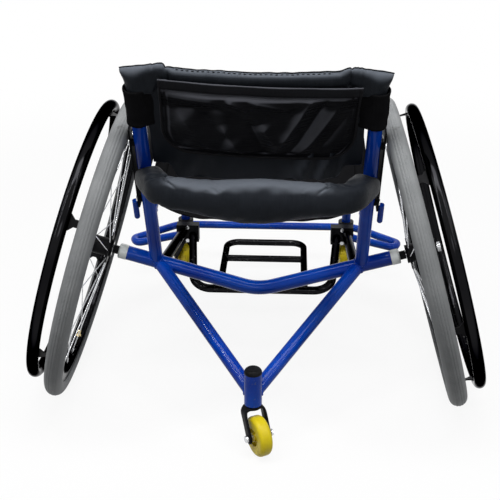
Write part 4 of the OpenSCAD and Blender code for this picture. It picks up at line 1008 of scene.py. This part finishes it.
def pocketPlace(x, drop, out):
    # the pouch's own plane: turned a little, laid on the back of the bowed panel and over the liner's edge
    k = pocket
    turn = np.radians(k["tilt"])
    z = -drop
    px = k["middle"] + x * np.cos(turn) - z * np.sin(turn)
    pz = k["top"] + x * np.sin(turn) + z * np.cos(turn)
    off = k["off"] + (k["offTop"] - k["off"]) * ease((pz - k["offFrom"]) / k["offOver"])
    return onPosts(px, bowAt(px) - off - out, pz)


def pocketHalf(drop):                    # half width at a depth: straight, then a quarter circle
    k = pocket
    deep = k["top"] - k["low"]
    into = np.clip((drop - deep + k["corner"]) / k["corner"], 0, 1)
    return k["half"] - k["corner"] * (1 - np.sqrt(1 - into ** 2))


def pocketRise(u, v):
    # pouch fullness, zero at the sewn edge, plus ridges and valleys between two points each, less the sewn lines
    k = pocket
    deep = k["top"] - k["low"]
    full = (1 - np.abs(u) ** 3) * np.sin(np.pi * np.clip(v, 0, 1) ** 0.8) ** 0.6
    rise = k["bulge"] * full
    across, down = (u + 1) / 2, v
    for (x0, y0), (x1, y1), high, wide in pocketFolds:
        dx, dy = (x1 - x0) * 2 * k["half"], (y1 - y0) * deep
        px, py = (across - x0) * 2 * k["half"], (down - y0) * deep
        long = np.hypot(dx, dy)
        t = (px * dx + py * dy) / long ** 2
        gap = (px * dy - py * dx) / long
        near = np.sqrt(gap ** 2 + k["foldBlunt"] ** 2) / (wide * (0.7 + 0.6 * np.clip(t, 0, 1)))
        rise = rise + high * np.exp(-near) * ease((0.62 - np.abs(t - 0.5)) / 0.3) * full
    fromEdge = np.minimum((1 - np.abs(u)) * pocketHalf(v * deep), (1 - v) * deep)
    seams = hump(fromEdge - k["seamIn"], k["seamWide"]) + hump(v * deep - k["hem"] - k["hemGap"], k["seamWide"])
    flat = ease(fromEdge / k["seamIn"] - 0.2) * ease((v * deep - k["hem"]) / k["hemSoft"])
    soft = k["soft"] * ripples(u * k["half"], v * 0.14, 41, 10, 0.09, 0.03) * full
    return rise * flat + soft * flat - k["seamDeep"] * seams


def pocketSheet():
    k = pocket
    v = np.linspace(0, 1, k["rows"])[:, None]
    u = np.linspace(-1, 1, k["across"])[None]
    drop = v * (k["top"] - k["low"])
    rise = pocketRise(u, v)
    outer = pocketPlace(u * pocketHalf(drop), drop + 0 * u, rise)
    inner = pocketPlace(u * pocketHalf(drop), drop + 0 * u, rise - k["thick"])
    return sealed((np.concatenate([outer, inner[:, ::-1]], 1), False, True))


def pocketEdge(inset):
    # down the left side, round the lower corners, up the right side
    k = pocket
    deep, half, r = k["top"] - k["low"], k["half"], k["corner"]
    turn = np.linspace(0, np.pi / 2, 24)[1:-1]
    side = np.linspace(0, deep - r, 40)
    flat = np.linspace(-half + r, half - r, 80)
    x = np.concatenate([0 * side - half, -half + r - r * np.cos(turn), flat, half - r + r * np.sin(turn),
                        0 * side + half])
    d = np.concatenate([side, deep - r + r * np.sin(turn), 0 * flat + deep, deep - r + r * np.cos(turn),
                        side[::-1]])
    return x * (1 - inset / half), np.minimum(d, deep) - inset * (d / deep) ** 2


def pocketTrim():
    # tape: a flat oval carried round the edge; hem: a wider one along the mouth, in a slow wave
    k = pocket
    ahead, upward = onPosts(0, 1, 0) - onPosts(0, 0, 0), onPosts(0, 0, 1) - onPosts(0, 0, 0)
    x, d = pocketEdge(k["tapeIn"])
    edgeTape = sweep(pocketPlace(x, d, k["tapeOut"]), roundOutline(k["tapeThick"], k["tape"], 3.2, 14), ahead)
    x = np.linspace(-k["half"], k["half"], 120)
    out = k["hemOut"] + k["hemWave"] * np.sin(x * k["hemTurns"])
    hemTop = sweep(pocketPlace(x, 0 * x + k["hem"] / 2 - k["hemUp"], out),
                   roundOutline(k["hemThick"], k["hem"], 6, 24), upward)
    return capped(edgeTape), capped(hemTop)


edgeTape, hemTop = pocketTrim()
pouch = piece("pocketPouch", [pocketSheet()], pocketCloth, "frame", sharp=60)
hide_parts("back_pocket")
binding = piece("pocketTape", [edgeTape], tape, "frame")
mouth = piece("pocketHem", [hemTop], pocketCloth, "frame", sharp=40)
# painted light on the pouch's folds and on the hem's top
paintLightByFacing(pouch, **pouchPaintedLight)
paintLightByFacing(mouth, **mouthPaintedLight)
print("pocket done")

# seat sling: one band of cloth hung between the rails, sleeved round each of them
mount = next(m for m in frame["record"]["mounts"] if m["name"] == "seat_face")
seatUp = np.array(mount["axis"])
seatOn = np.cross(seatUp, [1, 0, 0])
sling = dict(length=0.315, sleeve=0.0139, cloth=0.0026, faceDrop=0.032, sag=0.034, power=4.5, wrapFrom=-132, rows=70,
             across=120, soft=0.0007, softIn=0.02, softOver=0.05, wave=0.0007, waveLong=0.05, waveWide=0.05,
             hem=0.0003, hemIn=0.007, hemWide=0.005)


def onSeat(x, y, z):                     # seat frame: y forward from the middle of the sling, z from the rails' axes
    x, y, z = np.broadcast_arrays(x, y, z)
    rail = np.array(mount["pos_m"]) + seatUp * sling["faceDrop"]
    return rail + x[..., None] * np.array([1.0, 0, 0]) + y[..., None] * seatOn + z[..., None] * seatUp


def slingBand():
    # section: round the right rail, down and across with z = -sag * (1 - |x / side|^power), round the left rail
    k = sling
    r = k["sleeve"] - k["cloth"] / 2
    side = chair["postX"] - r
    turn = np.radians(np.linspace(k["wrapFrom"], 180, 50))
    rightX, rightZ = chair["postX"] + r * np.cos(turn), r * np.sin(turn)
    x = side * np.sin(np.linspace(np.pi / 2, -np.pi / 2, k["across"]))[1:-1]
    z = -k["sag"] * (1 - np.abs(x / side) ** k["power"])
    x = np.concatenate([rightX, x, -rightX[::-1]])
    z = np.concatenate([rightZ, z, rightZ[::-1]])
    nx, nz = -np.gradient(z), np.gradient(x)
    size = np.hypot(nx, nz)
    nx, nz = nx / size, nz / size
    y = np.linspace(-k["length"] / 2, k["length"] / 2, k["rows"])[:, None]
    flat = ease((side - k["softIn"] - np.abs(x)) / k["softOver"])[None]
    toEnd = np.abs(y) - k["length"] / 2
    wave = k["wave"] * np.sin(2 * np.pi * x[None] / k["waveLong"]) * hump(toEnd, k["waveWide"])
    soft = (k["soft"] * ripples(x[None], y, 51, 12, 0.12, 0.04) + wave) * flat
    half = k["cloth"] / 2 + k["hem"] * hump(toEnd + k["hemIn"], k["hemWide"])
    outer = onSeat(x - nx * half, y, z - nz * half + soft)
    inner = onSeat(x + nx * half, y, z + nz * half + soft)
    length = np.hypot(np.diff(x), np.diff(z)).sum()
    return (np.concatenate([outer, inner[:, ::-1]], 1), False, True), length


band, slingWide = slingBand()
seat = piece("seatSling", [sealed(band)], wrapCloth, "frame", sharp=60)
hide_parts("seat_sling")
print("seat sling done")

# camera at the photograph's angle
eye = dict(place=(0.058, axleY - 1.602, 1.035), pitch=65.01, turn=2.67, lens=64.8, sensor=36)
camera = bpy.data.objects.new("camera", bpy.data.cameras.new("camera"))
scene.collection.objects.link(camera)
camera.location = eye["place"]
camera.rotation_euler = np.radians([eye["pitch"], 0, eye["turn"]])
camera.data.lens, camera.data.sensor_width = eye["lens"], eye["sensor"]
scene.camera = camera

# lamps: a soft one straight above, weak ones round it, narrow ones for streaks along the tubes
lamps = dict(
    overhead=dict(place=(0.0, -0.75, 2.9), aim=(0, -0.1, 0.3), size=(2.2, 0.9), watts=48),
    ahead=dict(place=(0.0, 2.6, 1.9), aim=(0, 0, 0.4), size=(2.6, 0.5), watts=16),
    leftHigh=dict(place=(-2.6, -0.4, 2.2), aim=(0, 0, 0.3), size=(0.9, 0.9), watts=8),
    rightHigh=dict(place=(2.8, -0.2, 2.0), aim=(0, 0, 0.3), size=(0.9, 0.9), watts=8),
    behind=dict(place=(0.3, -3.2, 1.9), aim=(0, 0, 0.3), size=(1.2, 0.6), watts=12),
    leftStreak=dict(place=(-1.7, -1.3, 2.3), aim=(0, 0, 0.3), size=(0.05, 2.0), watts=22),
    rightStreak=dict(place=(1.7, -1.3, 2.3), aim=(0, 0, 0.3), size=(0.05, 2.0), watts=15),
)
for name, lamp in lamps.items():
    light = bpy.data.objects.new(name, bpy.data.lights.new(name, "AREA"))
    scene.collection.objects.link(light)
    light.data.shape = "RECTANGLE"
    light.data.energy, (light.data.size, light.data.size_y) = lamp["watts"], lamp["size"]
    light.location = lamp["place"]
    back = unit(np.array(lamp["place"]) - lamp["aim"])
    light.rotation_euler = (np.arccos(back[2]), 0, np.arctan2(back[0], -back[1]))

# world and floor: white to the camera and in reflections, a weak fill for everything else
backdrop = dict(fill=0.10, floorTone=0.9, floorBounce=0.2, floorGlow=0.90, glowFrom=0.9, glowTo=2.4, reach=30.0,
                under=0.0005)
scene.world = bpy.data.worlds.new("studio")
sky = Paint("studio", scene.world, Color=rgb(1, 1, 1))
level = sky.add("ShaderNodeMapRange", {}, {"Value": sky.shown(), "To Min": backdrop["fill"]})
sky.tree.links.new(level.socket, sky.shader.inputs["Strength"])

r = backdrop["reach"]
floorGrid = np.array([[[-r, -r, 0], [r, -r, 0]], [[-r, r, 0], [r, r, 0]]], float) - [0, 0, backdrop["under"]]
floorMesh = meshOf("floor", [(floorGrid, False, False)])
floor = bpy.data.objects.new("floor", floorMesh)
scene.collection.objects.link(floor)
floorPaint = Paint("paleFloor", Roughness=0.9, Specular_IOR_Level=0.0)
seen = floorPaint.shown()
floorPaint.feed(floorPaint.blend(seen, rgb(*[backdrop["floorBounce"]] * 3), rgb(*[backdrop["floorTone"]] * 3)))
far = floorPaint.add("ShaderNodeVectorMath", {"operation": "LENGTH"}, {0: floorPaint.place()}, "Value")
share = backdrop["floorGlow"] + (1 - backdrop["floorGlow"]) * far.between(backdrop["glowFrom"], backdrop["glowTo"])
glow = floorPaint.add("ShaderNodeEmission", {}, {"Color": rgb(1, 1, 1), "Strength": 1.0})
lit = Wire(floorPaint, floorPaint.shader.outputs[0])
mix = floorPaint.add("ShaderNodeMixShader", {}, {0: seen * share, 1: lit, 2: glow})
floorPaint.tree.links.new(mix.socket, floorPaint.tree.nodes["Material Output"].inputs["Surface"])
floorMesh.materials.append(floorPaint.material)
scene.view_settings.view_transform = "Standard"
print("stage done")
